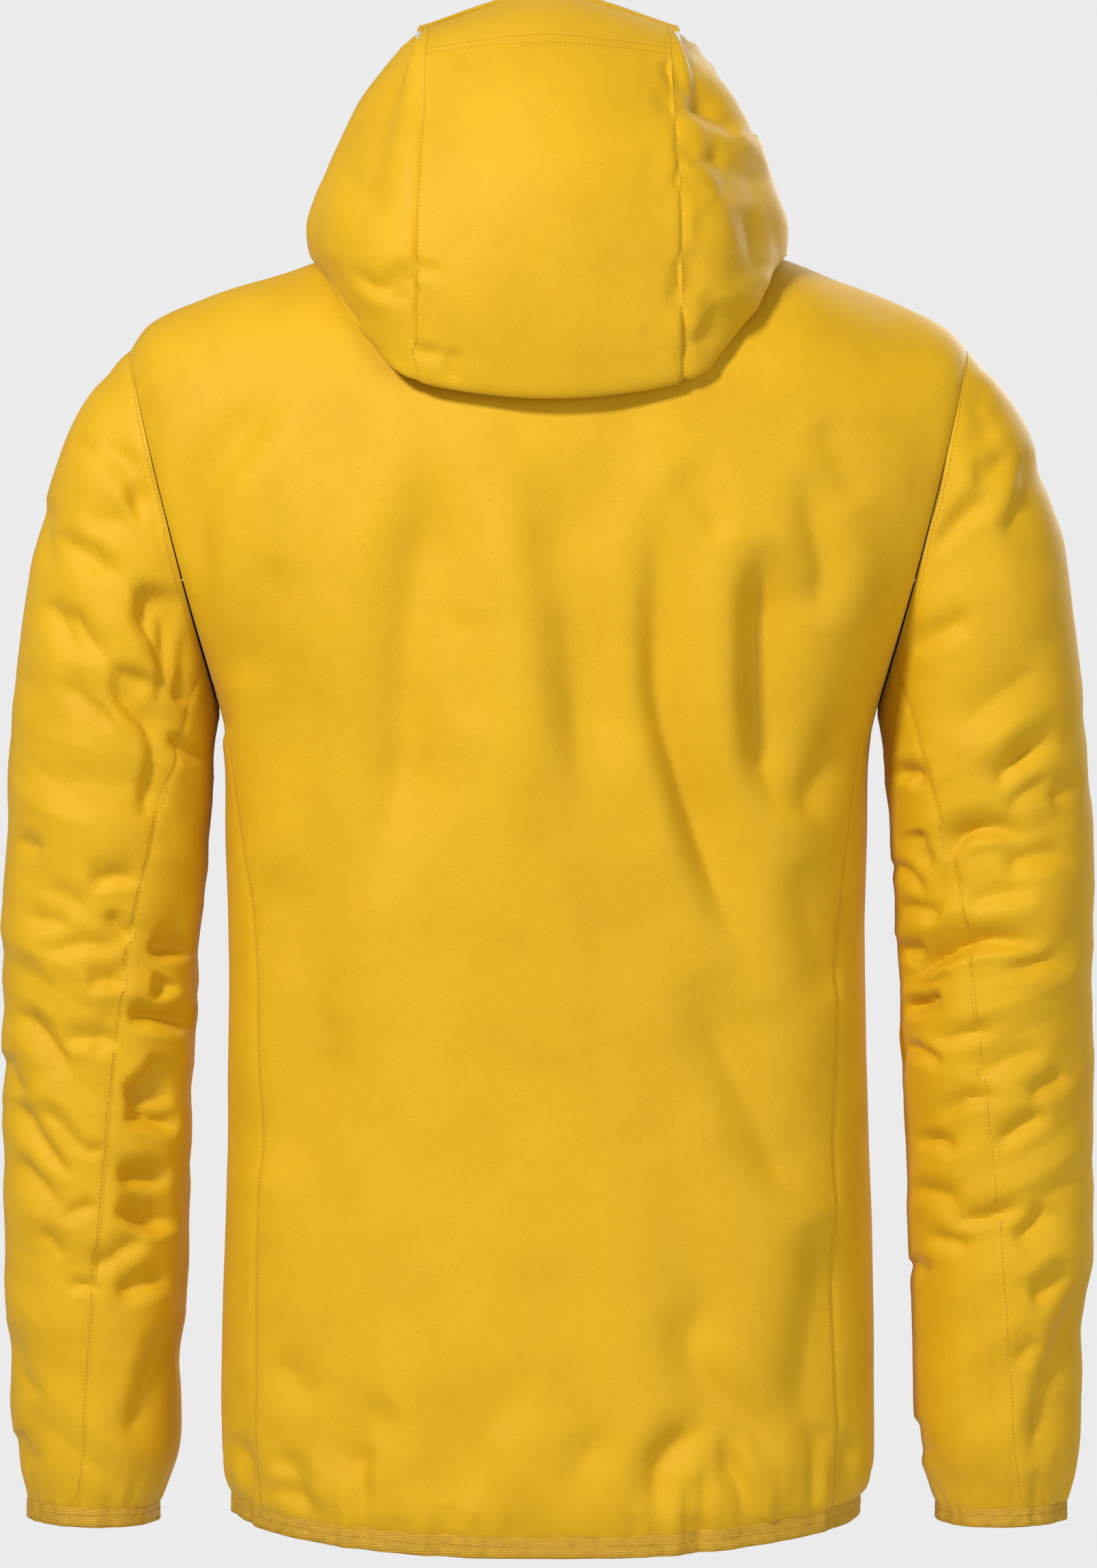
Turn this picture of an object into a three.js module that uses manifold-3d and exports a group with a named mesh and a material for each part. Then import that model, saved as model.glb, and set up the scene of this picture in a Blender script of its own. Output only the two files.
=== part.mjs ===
// A hooded hardshell jacket, zipped up and holding its worn shape, in millimetres.
// +Z is up, the front faces -Y and +X is the wearer's left. The origin is where the hanger loop
// takes a hook, inside the back of the neck.
import * as THREE from "three";
import { mergeVertices } from "three/addons/utils/BufferGeometryUtils.js";
import Module from "manifold-3d";

const wasm = await Module();
wasm.setup();

// ---- Driving dimensions ------------------------------------------------------------------------
const waistWidth = 378; // across the body at the waist
const waistDepth = 114; // from the middle to the back at the waist
const bodyDrop = 470; // from the foot of the armhole down to the hem seam
const sleeveDrop = 467; // from the foot of the armhole down to the cuff seam

const fabric = 2; // wall of every fabric shell
const trimWall = 1.2; // wall of facings, flaps and the hood's elastic
const seamGap = 0.6; // clear space between two panels that are sewn together
const layerGap = 0.8; // clear space between two flat layers that lie on each other
const curveGap = 1.4; // clear space between two curved layers that lie on each other
const hemHeight = 11; // elastic binding at the hem
const cuffHeight = 10; // elastic binding at the cuffs
const collarHeight = { front: 67, side: 34, back: 50 };
const hook = { y: 60.5, z: 31 }; // where the loop takes the hook, from the middle of the body

const zipTop = { y: -95, z: -30 }; // the front edge of the neck seam, on the zip's line
const zipLean = 0.0364; // how far the zip's line leans forward for each millimetre down
const zipWindow = 9; // half the gap between the two front panels
const zipFlat = 22; // the front stays flat this far either side of the zip
const tapeWidth = 15;
const tapeWall = 1;
const coilWidth = 2.6;
const coilHeight = 1.5;
const coilGap = 0.9; // half the gap between the two coils, which the slider's post runs in

const sliderRoom = 0.7; // clear space beside a pocket's slider in its slot

const armhole = { top: [250, -28], bottom: [196, -245], floor: -255 };
const pocket = { from: [118, -430], to: [140, -592], slot: 8, tape: 24, bag: [100, 200] };

// ---- Materials ---------------------------------------------------------------------------------
const cloth = new THREE.MeshStandardMaterial({ color: 0xf0bf1a, roughness: 0.62, metalness: 0 });
const lining = new THREE.MeshStandardMaterial({ color: 0xc9cbcc, roughness: 0.8, metalness: 0 });
const elastic = new THREE.MeshStandardMaterial({ color: 0xe2b11f, roughness: 0.8, metalness: 0 });
const tape = new THREE.MeshStandardMaterial({ color: 0xd9a918, roughness: 0.7, metalness: 0 });
const coil = new THREE.MeshStandardMaterial({ color: 0xd3a21b, roughness: 0.45, metalness: 0 });
const metal = new THREE.MeshStandardMaterial({ color: 0x8b8d90, roughness: 0.35, metalness: 0.9 });

const jacket = new THREE.Group();

// ---- Small tools -------------------------------------------------------------------------------
const radians = (degrees) => (degrees * Math.PI) / 180;
const lerp = (a, b, t) => a + (b - a) * t;
const smooth = (t) => {
  const c = Math.min(1, Math.max(0, t));
  return c * c * (3 - 2 * c);
};

// A row of numbers between the rows of a table, on a Catmull-Rom curve; place runs from 0 to 1.
function between(table, place) {
  const at = Math.min(Math.max(place, 0), 1) * (table.length - 1);
  const i = Math.min(Math.floor(at), table.length - 2);
  const t = at - i;
  const row = (k) => table[Math.min(Math.max(k, 0), table.length - 1)];
  const [p, q, r, s] = [row(i - 1), row(i), row(i + 1), row(i + 2)];
  return q.map(
    (_, k) =>
      0.5 *
      (2 * q[k] +
        (r[k] - p[k]) * t +
        (2 * p[k] - 5 * q[k] + 4 * r[k] - s[k]) * t * t +
        (3 * q[k] - p[k] - 3 * r[k] + s[k]) * t * t * t),
  );
}

const power = (value, exponent) => Math.sign(value) * Math.abs(value) ** exponent;

function solidOf(geometry) {
  const bare = new THREE.BufferGeometry().setAttribute("position", geometry.getAttribute("position"));
  if (geometry.index) bare.setIndex(geometry.index);
  const merged = mergeVertices(bare, 1e-3);
  return new wasm.Manifold(
    new wasm.Mesh({
      numProp: 3,
      vertProperties: merged.attributes.position.array,
      triVerts: new Uint32Array(merged.index.array),
    }),
  );
}

function geometryOf(solid) {
  const made = solid.getMesh();
  return new THREE.BufferGeometry()
    .setAttribute("position", new THREE.BufferAttribute(made.vertProperties, 3))
    .setIndex(new THREE.BufferAttribute(made.triVerts, 1));
}

function add(name, geometry, material, parent = jacket) {
  const mesh = new THREE.Mesh(geometry, material);
  mesh.name = name;
  parent.add(mesh);
  return mesh;
}

const box = (x0, x1, y0, y1, z0, z1) =>
  new THREE.BoxGeometry(x1 - x0, y1 - y0, z1 - z0).translate((x0 + x1) / 2, (y0 + y1) / 2, (z0 + z1) / 2);

const union = (...pieces) => geometryOf(pieces.map(solidOf).reduce((a, b) => a.add(b)));
const without = (piece, ...cutters) =>
  geometryOf(cutters.map(solidOf).reduce((a, b) => a.subtract(b), solidOf(piece)));

// A closed shell on the patch of a surface between two edges. surface(u, v) gives a point, u runs
// across and v along, and the wall lies inwards of the surface, from `lift` below it. `trim` may
// move a point of the inner face.
function shell(surface, { across, along, wall = fabric, lift = 0, ring = false, outward = 1, trim }) {
  const step = 1e-3;
  const normalAt = (u, v) => {
    const low = Math.max(v - step, 0);
    const high = Math.min(v + step, 1);
    const du = surface(u + step, v).sub(surface(u - step, v));
    const dv = surface(u, high).sub(surface(u, low));
    return du.cross(dv).normalize().multiplyScalar(outward);
  };
  const columns = ring ? across : across + 1;
  const outer = [];
  const inner = [];
  for (let j = 0; j <= along; j++) {
    for (let i = 0; i < columns; i++) {
      const [u, v] = [i / across, j / along];
      const point = surface(u, v);
      const normal = normalAt(u, v);
      outer.push(point.clone().addScaledVector(normal, -lift));
      inner.push(point.addScaledVector(normal, -lift - wall));
      trim?.(point);
    }
  }
  const count = outer.length;
  const id = (i, j) => j * columns + (ring ? i % columns : i);
  const faces = [];
  const quad = (a, b, c, d) => (outward > 0 ? faces.push(a, b, c, a, c, d) : faces.push(a, c, b, a, d, c));
  for (let j = 0; j < along; j++) {
    for (let i = 0; i < across; i++) {
      quad(id(i, j), id(i + 1, j), id(i + 1, j + 1), id(i, j + 1));
      quad(count + id(i, j), count + id(i, j + 1), count + id(i + 1, j + 1), count + id(i + 1, j));
    }
  }
  for (let i = 0; i < across; i++) {
    quad(id(i + 1, 0), id(i, 0), count + id(i, 0), count + id(i + 1, 0));
    quad(id(i, along), id(i + 1, along), count + id(i + 1, along), count + id(i, along));
  }
  if (!ring) {
    for (let j = 0; j < along; j++) {
      quad(id(0, j), id(0, j + 1), count + id(0, j + 1), count + id(0, j));
      quad(id(across, j + 1), id(across, j), count + id(across, j), count + id(across, j + 1));
    }
  }
  const position = new Float32Array([...outer, ...inner].flatMap((p) => [p.x, p.y, p.z]));
  return new THREE.BufferGeometry()
    .setAttribute("position", new THREE.BufferAttribute(position, 3))
    .setIndex(faces);
}

const mirrored = (surface) => (u, v) => {
  const p = surface(u, v);
  return p.setX(-p.x);
};

// ---- Body --------------------------------------------------------------------------------------
// Rings from the neck seam down to the hem: half width, depth behind the middle, height at the
// side, at the back and at the front, roundness, and the angle of the shoulder or side seam.
const bodyRings = [
  [82, 72, 42, 12, -30, 2.0, -10],
  [120, 86, 30, -3, -42, 2.0, -10],
  [160, 98, 15, -21, -58, 2.0, -10],
  [203, 108, 0, -45, -78, 2.1, -10],
  [238, 116, -18, -75, -102, 2.2, -8],
  [259, 121, -45, -108, -130, 2.3, -4],
  [263, 125, -90, -145, -160, 2.3, 0],
  [243, 126, -150, -186, -194, 2.3, 4],
  [208, 126, -215, -226, -230, 2.3, 8],
  [192, 124, -262, -264, -266, 2.3, 13],
  [190, 119, -320, -320, -320, 2.3, 21],
  [189, 114, -400, -400, -400, 2.3, 26],
  [191, 112, -480, -480, -480, 2.3, 28],
  [194, 114, -560, -560, -560, 2.3, 29],
  [196, 117, -636, -638, -634, 2.3, 30],
  [195, 116, -692, -700, -688, 2.35, 30],
  [187, 110, -712, -725, -708, 2.4, 29],
];

// The tables give the shape, and the driving dimensions stretch it.
const waist = bodyRings[11];
const stretch = {
  x: waistWidth / (2 * waist[0]),
  y: waistDepth / waist[1],
  body: bodyDrop / (armhole.floor - bodyRings[bodyRings.length - 1][3]),
};
const lengthen = (z, by) => (z < armhole.floor ? armhole.floor + (z - armhole.floor) * by : z);

const zipY = (z) => (zipTop.y - zipLean * (zipTop.z - z)) * stretch.y;

// How much of the front's depth is left at a distance from the middle.
function frontReach(x, halfWidth, roundness) {
  const past = Math.max(0, Math.abs(x) - zipFlat) / (halfWidth - zipFlat);
  return Math.max(0, 1 - past ** roundness) ** (1 / roundness);
}

// A point of a ring: angle 0 is the wearer's left, 90 the middle of the back, -90 the zip.
function ringPoint([halfWidth, backDepth, zSide, zBack, zFront, roundness], angle) {
  const [c, s] = [Math.cos(radians(angle)), Math.sin(radians(angle))];
  const half = halfWidth * stretch.x;
  const x = half * power(c, 2 / roundness);
  const front = zipY(lengthen(zFront, stretch.body)) * frontReach(x, half, roundness);
  const z = zSide * c * c + (s > 0 ? zBack : zFront) * s * s;
  return new THREE.Vector3(
    x,
    s > 0 ? backDepth * stretch.y * power(s, 2 / roundness) : front,
    lengthen(z, stretch.body),
  );
}

const bodyPoint = (angle, place) => ringPoint(between(bodyRings, place), angle);
const seamAngle = (place) => between(bodyRings, place)[6];
const degreesFor = (millimetres, radius) => (millimetres / radius) * (180 / Math.PI);
const seamStep = degreesFor(seamGap / 2, 150);

const backSurface = (u, v) => {
  const seam = seamAngle(v) + seamStep;
  return bodyPoint(lerp(seam, 180 - seam, u), v);
};

// The zip's edge of a front panel keeps the same distance from the middle at every height.
function zipEdgeAngle(place) {
  const [halfWidth, , , , , roundness] = between(bodyRings, place);
  const share = zipWindow / (halfWidth * stretch.x);
  return -90 + (Math.asin(share ** (roundness / 2)) * 180) / Math.PI;
}

const frontSurface = (u, v) => bodyPoint(lerp(zipEdgeAngle(v), seamAngle(v) - seamStep, u), v);

// The armhole lies in a plane. This is its frame: the middle, and the unit vectors across and out.
const armTop = new THREE.Vector3(armhole.top[0] * stretch.x, 0, armhole.top[1]);
const armBottom = new THREE.Vector3(armhole.bottom[0] * stretch.x, 0, armhole.bottom[1]);
const armMiddle = armTop.clone().add(armBottom).multiplyScalar(0.5);
const armUp = armTop.clone().sub(armBottom).normalize();
const armOut = new THREE.Vector3(-armUp.z, 0, armUp.x).negate();

// A block that fills one side of the armhole's plane, from `from` to `to` along its outward line.
const far = 900;
function planeBlock(from, to) {
  const block = box(-far, far, -far, far, from, to);
  block.applyQuaternion(new THREE.Quaternion().setFromUnitVectors(new THREE.Vector3(0, 0, 1), armOut));
  return block.translate(armMiddle.x, 0, armMiddle.z);
}
const aboveFloor = box(0, far, -far, far, armhole.floor, far);
const sleeveSpace = geometryOf(solidOf(planeBlock(0, far)).intersect(solidOf(aboveFloor)));
const acrossMiddle = (geometry) => geometryOf(solidOf(geometry).mirror([1, 0, 0]));
const armCutters = [sleeveSpace, acrossMiddle(sleeveSpace)];

// The outline of the armhole: where the body's surface crosses the plane, as points by angle.
function armholeOutline() {
  const found = [];
  const height = (angle, place) => bodyPoint(angle, place).sub(armMiddle).dot(armOut);
  const [first, last, steps] = [0.1, 0.56, 60];
  for (let angle = -66; angle <= 66; angle += 3) {
    for (let k = 0; k < steps; k++) {
      const [a, b] = [lerp(first, last, k / steps), lerp(first, last, (k + 1) / steps)];
      const [fa, fb] = [height(angle, a), height(angle, b)];
      if (fa * fb > 0) continue;
      const p = bodyPoint(angle, a + ((b - a) * fa) / (fa - fb));
      const [up, across] = [p.clone().sub(armMiddle).dot(armUp), p.y];
      if (p.z > armhole.floor) found.push({ up, across, turn: Math.atan2(across, up) });
    }
  }
  return found.sort((a, b) => a.turn - b.turn);
}
const outline = armholeOutline();

function outlineAt(turn) {
  const wrapped = Math.atan2(Math.sin(turn), Math.cos(turn));
  const next = outline.findIndex((o) => o.turn > wrapped);
  const b = outline[next < 0 ? 0 : next];
  const a = outline[(next < 0 ? outline.length : next) - 1] ?? outline[outline.length - 1];
  const full = 2 * Math.PI;
  const span = (((b.turn - a.turn) % full) + full) % full;
  const t = ((((wrapped - a.turn) % full) + full) % full) / (span || 1);
  return { up: lerp(a.up, b.up, t), across: lerp(a.across, b.across, t) };
}

// ---- Pockets: a straight zip in each front panel -------------------------------------------------
// The front's surface at a place across it and a height.
function frontAt(x, z) {
  let [low, high] = [0.1, 1];
  for (let k = 0; k < 40; k++) {
    const middle = (low + high) / 2;
    if (bodyPoint(-60, middle).z > z) low = middle;
    else high = middle;
  }
  const [halfWidth, , , , , roundness] = between(bodyRings, low);
  const y = zipY(z) * frontReach(x, halfWidth * stretch.x, roundness);
  return new THREE.Vector3(x, y, z);
}

const pocketEnds = [pocket.from, pocket.to].map(([x, z]) => [x * stretch.x, lengthen(z, stretch.body)]);

// The pocket's own frame: X across, Y inwards, Z up along the zip, with its origin in the middle.
function pocketFrame(side) {
  const ends = pocketEnds.map(([x, z]) => frontAt(x, z).setX(side * x));
  const up = ends[0].clone().sub(ends[1]);
  const length = up.length();
  up.normalize();
  const middle = ends[0].clone().add(ends[1]).multiplyScalar(0.5);
  const beside = frontAt(Math.abs(middle.x) + 12, middle.z);
  beside.setX(side * beside.x);
  const across = beside.sub(middle).multiplyScalar(side);
  across.addScaledVector(up, -across.dot(up)).normalize();
  const group = new THREE.Group();
  const inwards = up.clone().cross(across);
  group.applyMatrix4(new THREE.Matrix4().makeBasis(across, inwards, up).setPosition(middle));
  const hang = Math.atan2(-inwards.z, up.z); // how far a free tab swings out to hang plumb
  return { group, length, hang };
}
const pocketFrames = { left: pocketFrame(1), right: pocketFrame(-1) };

// A patch of the front beside the pocket's zip, from one distance across it to another.
const pocketPatch = (inner, outer, above, below) => (u, v) => {
  const [[x0, z0], [x1, z1]] = pocketEnds;
  const z = lerp(z0 + above, z1 - below, v);
  return frontAt(lerp(x0, x1, (z0 - z) / (z0 - z1)) + lerp(inner, outer, u), z);
};

function placed(geometry, group) {
  group.updateMatrix();
  return geometry.clone().applyMatrix4(group.matrix);
}

function bodyPanels() {
  const mesh = { across: 18, along: 16 };
  add("back_panel", without(shell(backSurface, { ...mesh, outward: -1 }), ...armCutters), cloth);
  for (const [name, { group, length }] of Object.entries(pocketFrames)) {
    const surface = name === "left" ? frontSurface : mirrored(frontSurface);
    const panel = shell(surface, { across: 10, along: 16, outward: name === "left" ? -1 : 1 });
    const half = [pocket.slot / 2, length / 2];
    const slot = placed(box(-half[0], half[0], -20, 20, -half[1], half[1]), group);
    add(`front_panel_${name}`, without(panel, ...armCutters, slot), cloth);
  }
}

function hemBinding() {
  const last = bodyRings[bodyRings.length - 1];
  const surface = (u, v) => {
    const edge = zipEdgeAngle(1);
    const p = ringPoint(last, lerp(edge, 180 - edge, u));
    const drop = seamGap + v * hemHeight;
    const lean = zipLean * Math.max(0, p.y / zipY(p.z));
    return new THREE.Vector3(p.x, p.y - drop * lean, p.z - drop);
  };
  add("hem_binding", shell(surface, { across: 40, along: 1, wall: fabric, outward: -1 }), elastic);
}

// ---- Collar ------------------------------------------------------------------------------------
const collarTop = [76, 66, 0, 0, 0, 2.0];
function collarPoint(angle, v) {
  const s = Math.sin(radians(angle));
  const rise = lerp(collarHeight.side, s > 0 ? collarHeight.back : collarHeight.front, s * s);
  const low = ringPoint(bodyRings[0], angle);
  const high = ringPoint(collarTop, angle);
  const x = lerp(low.x, high.x, v);
  const z = low.z + seamGap + v * rise;
  const half = lerp(bodyRings[0][0], collarTop[0], v) * stretch.x;
  const y = s > 0 ? lerp(low.y, high.y, v) : zipY(z) * frontReach(x, half, 2);
  return new THREE.Vector3(x, y, z);
}

function collar() {
  const edge = zipEdgeAngle(0);
  const surface = (u, v) => collarPoint(lerp(edge, 180 - edge, u), v);
  add("collar", shell(surface, { across: 28, along: 2, outward: 1 }), cloth);
}

function neckTrim() {
  const [facingTop, facingBottom, halfSweep] = [0.006, 0.09, 46];
  const surface = (u, v) =>
    bodyPoint(lerp(90 - halfSweep, 90 + halfSweep, u), lerp(facingTop, facingBottom, v));
  const facing = { across: 10, along: 2, wall: trimWall, lift: fabric + curveGap, outward: -1 };
  add("neck_facing", shell(surface, facing), lining);

  // The loop's ends are sewn in at the neck seam and its arch lies up the inside of the collar.
  const [half, rise, wall, width] = [22, 16, 1.2, 7];
  const arch = new THREE.Shape();
  arch.moveTo(-half - wall, -rise);
  arch.bezierCurveTo(-half - wall, wall * 0.6, -half * 0.5, wall, 0, wall);
  arch.bezierCurveTo(half * 0.5, wall, half + wall, wall * 0.6, half + wall, -rise);
  arch.lineTo(half, -rise);
  arch.bezierCurveTo(half, -wall * 0.4, half * 0.5, 0, 0, 0);
  arch.bezierCurveTo(-half * 0.5, 0, -half, -wall * 0.4, -half, -rise);
  const loop = new THREE.ExtrudeGeometry(arch, { depth: width, bevelEnabled: false, curveSegments: 6 });
  loop.rotateX(Math.PI / 2).translate(0, hook.y + width / 2, hook.z);
  add("hanger_loop", loop, tape);
}

// ---- Front zip ---------------------------------------------------------------------------------
// Its own frame: X across, Y inwards from the outer face, Z up along the line.
function zipGroup(top, lean) {
  const group = new THREE.Group();
  group.position.copy(top);
  group.rotation.x = -Math.atan(lean);
  return group;
}

// A slider's two plates, joined by a post, with a bridge that holds the puller.
function sliderSolid(size, behind) {
  const [half, length, plate] = [5 * size, 12 * size, 2.2 * size];
  const plan = new THREE.Shape();
  plan.moveTo(-half * 0.72, -length / 2);
  plan.lineTo(half * 0.72, -length / 2);
  plan.lineTo(half, length * 0.1);
  plan.quadraticCurveTo(half, length / 2, half * 0.45, length / 2);
  plan.lineTo(-half * 0.45, length / 2);
  plan.quadraticCurveTo(-half, length / 2, -half, length * 0.1);
  const lay = (depth, from) =>
    new THREE.ExtrudeGeometry(plan, { depth, bevelEnabled: false, curveSegments: 5 })
      .rotateX(Math.PI / 2)
      .translate(0, from + depth, 0);
  const front = lay(plate, -plate);
  const back = lay(1.2, behind);
  const post = box(-0.45, 0.45, -0.2, behind + 0.2, -length * 0.3, length * 0.3);
  const bridge = box(-1.2 * size, 1.2 * size, -plate - 4 * size, -plate + 0.2, -2.4 * size, 2.4 * size);
  const eye = new THREE.CylinderGeometry(1.35 * size, 1.35 * size, 8, 16)
    .rotateZ(Math.PI / 2)
    .translate(0, -plate - 2 * size, 0);
  return without(union(front, back, post, bridge), eye);
}

// A pull tab that hangs from the slider's bridge by the bar across its top. Its hinge is its origin.
const eyeDepth = (size) => -4.2 * size;
function pullerSolid(size, length) {
  const [bar, side, wide] = [0.6 * size, 1.6 * size, 3.2 * size];
  const tab = new THREE.Shape();
  tab.moveTo(-wide * 0.8, bar);
  tab.lineTo(wide * 0.8, bar);
  tab.lineTo(wide, -length * 0.35);
  tab.lineTo(wide * 0.85, -length + 2);
  tab.quadraticCurveTo(wide * 0.8, -length, wide * 0.4, -length);
  tab.lineTo(-wide * 0.4, -length);
  tab.quadraticCurveTo(-wide * 0.8, -length, -wide * 0.85, -length + 2);
  tab.lineTo(-wide, -length * 0.35);
  const eye = new THREE.Path();
  eye.moveTo(-side, -bar);
  eye.lineTo(-side, -5 * size);
  eye.lineTo(side, -5 * size);
  eye.lineTo(side, -bar);
  tab.holes.push(eye);
  return new THREE.ExtrudeGeometry(tab, { depth: 2 * bar, bevelEnabled: false, curveSegments: 4 })
    .rotateX(Math.PI / 2)
    .translate(0, bar, 0);
}

function frontZip() {
  const bottomZ = lengthen(bodyRings[bodyRings.length - 1][4], stretch.body) - hemHeight;
  const topZ = zipTop.z + collarHeight.front;
  const lean = zipLean * stretch.y;
  const group = zipGroup(new THREE.Vector3(0, zipY(topZ), topZ), lean);
  jacket.add(group);
  const length = (topZ - bottomZ) * Math.hypot(1, lean);
  const tapeFrom = fabric + layerGap;
  const coilFrom = tapeFrom - 0.3 - coilHeight;
  const stopHeight = 3;
  const boxHeight = 9;
  for (const [name, side] of [["left", 1], ["right", -1]]) {
    const strip = (x0, x1, y0, y1, z0, z1) =>
      side > 0 ? box(x0, x1, y0, y1, z0, z1) : box(-x1, -x0, y0, y1, z0, z1);
    const coilEnd = coilGap + coilWidth;
    const tapeIn = coilGap;
    add(`zip_tape_${name}`, strip(tapeIn, tapeIn + tapeWidth, tapeFrom, tapeFrom + tapeWall, -length, 0), tape, group);
    const coilBar = strip(coilGap, coilEnd, coilFrom, coilFrom + coilHeight, -length + boxHeight + 0.6, -stopHeight - 1);
    add(`zip_coil_${name}`, coilBar, coil, group);
    const stop = strip(coilGap, coilEnd + 0.6, coilFrom - 0.6, tapeFrom - 0.3, -stopHeight - 0.4, -0.4);
    add(`zip_top_stop_${name}`, stop, metal, group);
  }
  // The retainer box at the bottom holds the pin of the other side.
  const shellBox = box(-coilGap - coilWidth - 1, coilGap - 1.4, coilFrom - 1, tapeFrom - 0.3, -length, -length + boxHeight);
  add("zip_box", shellBox, metal, group);
  const pin = box(coilGap - 0.9, coilGap + coilWidth, coilFrom - 0.6, tapeFrom - 0.3, -length, -length + boxHeight);
  add("zip_pin", pin, metal, group);

  const behind = tapeFrom + tapeWall + 0.4;
  const size = (coilGap + coilWidth + 1.5) / 5; // the slider's sides reach past the coils
  const slider = sliderSolid(size, behind);
  const restDrop = stopHeight + 1 + 6.6 * size;
  add("zip_slider", slider, metal, group).position.z = -restDrop;
  add("zip_puller", pullerSolid(size, 26), metal, group).position.set(0, eyeDepth(size), -restDrop);

  const flapFrom = behind + 1.2 + layerGap;
  const flap = box(-16, 22, flapFrom, flapFrom + trimWall, -length + 14, -1);
  add("storm_flap", flap, cloth, group);
  // The garage folds over the top of the zip, inside, and keeps the slider off the chin.
  const garage = box(-20, 20, flapFrom + trimWall + layerGap, flapFrom + 2 * trimWall + layerGap, -26, -1.5);
  add("chin_guard", garage, lining, group);
}

function pocketZips() {
  const tapeFrom = fabric + curveGap;
  const bow = 0.7; // how far the front bows out past the straight zip
  const bagFrom = tapeFrom + bow + tapeWall + curveGap;
  const size = (pocket.slot / 2 - sliderRoom) / 4.6;
  for (const [name, { group, length, hang }] of Object.entries(pocketFrames)) {
    jacket.add(group);
    const run = length / 2;
    const [flip, outward] = name === "left" ? [(f) => f, -1] : [mirrored, 1];
    const strip = pocketPatch(-pocket.tape / 2, pocket.tape / 2, 6, 6);
    const strap = { across: 4, along: 4, wall: tapeWall, lift: tapeFrom + bow, outward };
    add(`pocket_tape_${name}`, shell(flip(strip), strap), tape);
    const rail = box(-1.8, 1.8, tapeFrom - 0.3 - coilHeight, tapeFrom - 0.3, -run + 1, run - 1);
    add(`pocket_coil_${name}`, rail, coil, group);

    const top = new THREE.Group();
    top.position.set(0, tapeFrom - 0.6 - coilHeight, run - 6);
    group.add(top);
    add(`pocket_slider_${name}`, pocketSlider(size), metal, top);
    const puller = add(`pocket_puller_${name}`, pullerSolid(size, 22), metal, top);
    puller.position.y = eyeDepth(size);
    puller.rotation.x = hang;

    const [wide, high] = pocket.bag;
    const spare = high - length;
    const pouch = pocketPatch(pocket.tape / 2 - wide, pocket.tape / 2, spare * 0.3, spare * 0.7);
    const bag = { across: 8, along: 5, wall: 2.4, lift: bagFrom, outward };
    add(`pocket_bag_${name}`, shell(flip(pouch), bag), lining);
  }
}

// The pocket's coil is closed, so its slider is the front plate alone, with its bridge.
function pocketSlider(size) {
  const plate = 2.2 * size;
  const body = box(-4.6 * size, 4.6 * size, -plate, 0, -6 * size, 6 * size);
  const bridge = box(-1.2 * size, 1.2 * size, -plate - 4 * size, -plate + 0.2, -2.4 * size, 2.4 * size);
  const eye = new THREE.CylinderGeometry(1.35 * size, 1.35 * size, 8, 16)
    .rotateZ(Math.PI / 2)
    .translate(0, -plate - 2 * size, 0);
  return without(union(body, bridge), eye);
}

// ---- Sleeves -----------------------------------------------------------------------------------
// Rings from the armhole to the cuff: the outer point's x and z, the inner point's x and z, half
// the depth from front to back, the middle's y, and the angles of the back and the inner seam.
const sleeveRings = [
  [250, -28, 196, -245, 68, 4, 150, 215],
  [283, -68, 198, -256, 70, 4, 146, 217],
  [303, -128, 200, -270, 69, 3, 140, 220],
  [314, -190, 202, -292, 67, 1, 133, 222],
  [321, -258, 205, -325, 65, -1, 125, 225],
  [326, -325, 208, -366, 62, -3, 117, 227],
  [327, -395, 211, -420, 60, -6, 110, 229],
  [327, -465, 214, -478, 58, -10, 105, 231],
  [327, -540, 217, -548, 56, -15, 99, 232],
  [326, -615, 219, -620, 55, -21, 93, 234],
  [323, -680, 222, -684, 52, -26, 88, 235],
  [313, -722, 236, -724, 42, -29, 84, 236],
];

const sleeveStretch = sleeveDrop / (armhole.floor - sleeveRings[sleeveRings.length - 1][1]);
const sleeveShift = (stretch.x - 1) * armhole.bottom[0];

function drawnSleeve(turn, place) {
  const [outerX, outerZ, innerX, innerZ, depth, middleY] = between(sleeveRings, place);
  const [c, s] = [Math.cos(radians(turn)), Math.sin(radians(turn))];
  const [topZ, lowZ] = [outerZ, innerZ].map((z) => lengthen(z, sleeveStretch));
  return new THREE.Vector3(
    (outerX + innerX) / 2 + ((outerX - innerX) / 2) * c + sleeveShift,
    middleY + depth * s,
    (topZ + lowZ) / 2 + ((topZ - lowZ) / 2) * c,
  );
}

// The sleeve's head takes the armhole's outline and eases out of it down the arm.
function sleevePoint(turn, place) {
  const start = drawnSleeve(turn, 0);
  const fromMiddle = start.clone().sub(armMiddle);
  const edge = outlineAt(Math.atan2(start.y, fromMiddle.dot(armUp)));
  const target = armMiddle.clone().addScaledVector(armUp, edge.up).addScaledVector(armOut, seamGap);
  target.y = edge.across;
  const away = 1 - smooth(place / 0.3);
  return drawnSleeve(turn, place).addScaledVector(target.sub(start), away);
}

// Moves a point of a sleeve out to the armhole's plane if it lies short of it.
const clearOfArmhole = (side) => (point) => {
  const local = point.clone().setX(side * point.x).sub(armMiddle);
  const short = Math.max(0, seamGap - local.dot(armOut));
  point.x += side * short * armOut.x;
  point.z += short * armOut.z;
};

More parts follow.
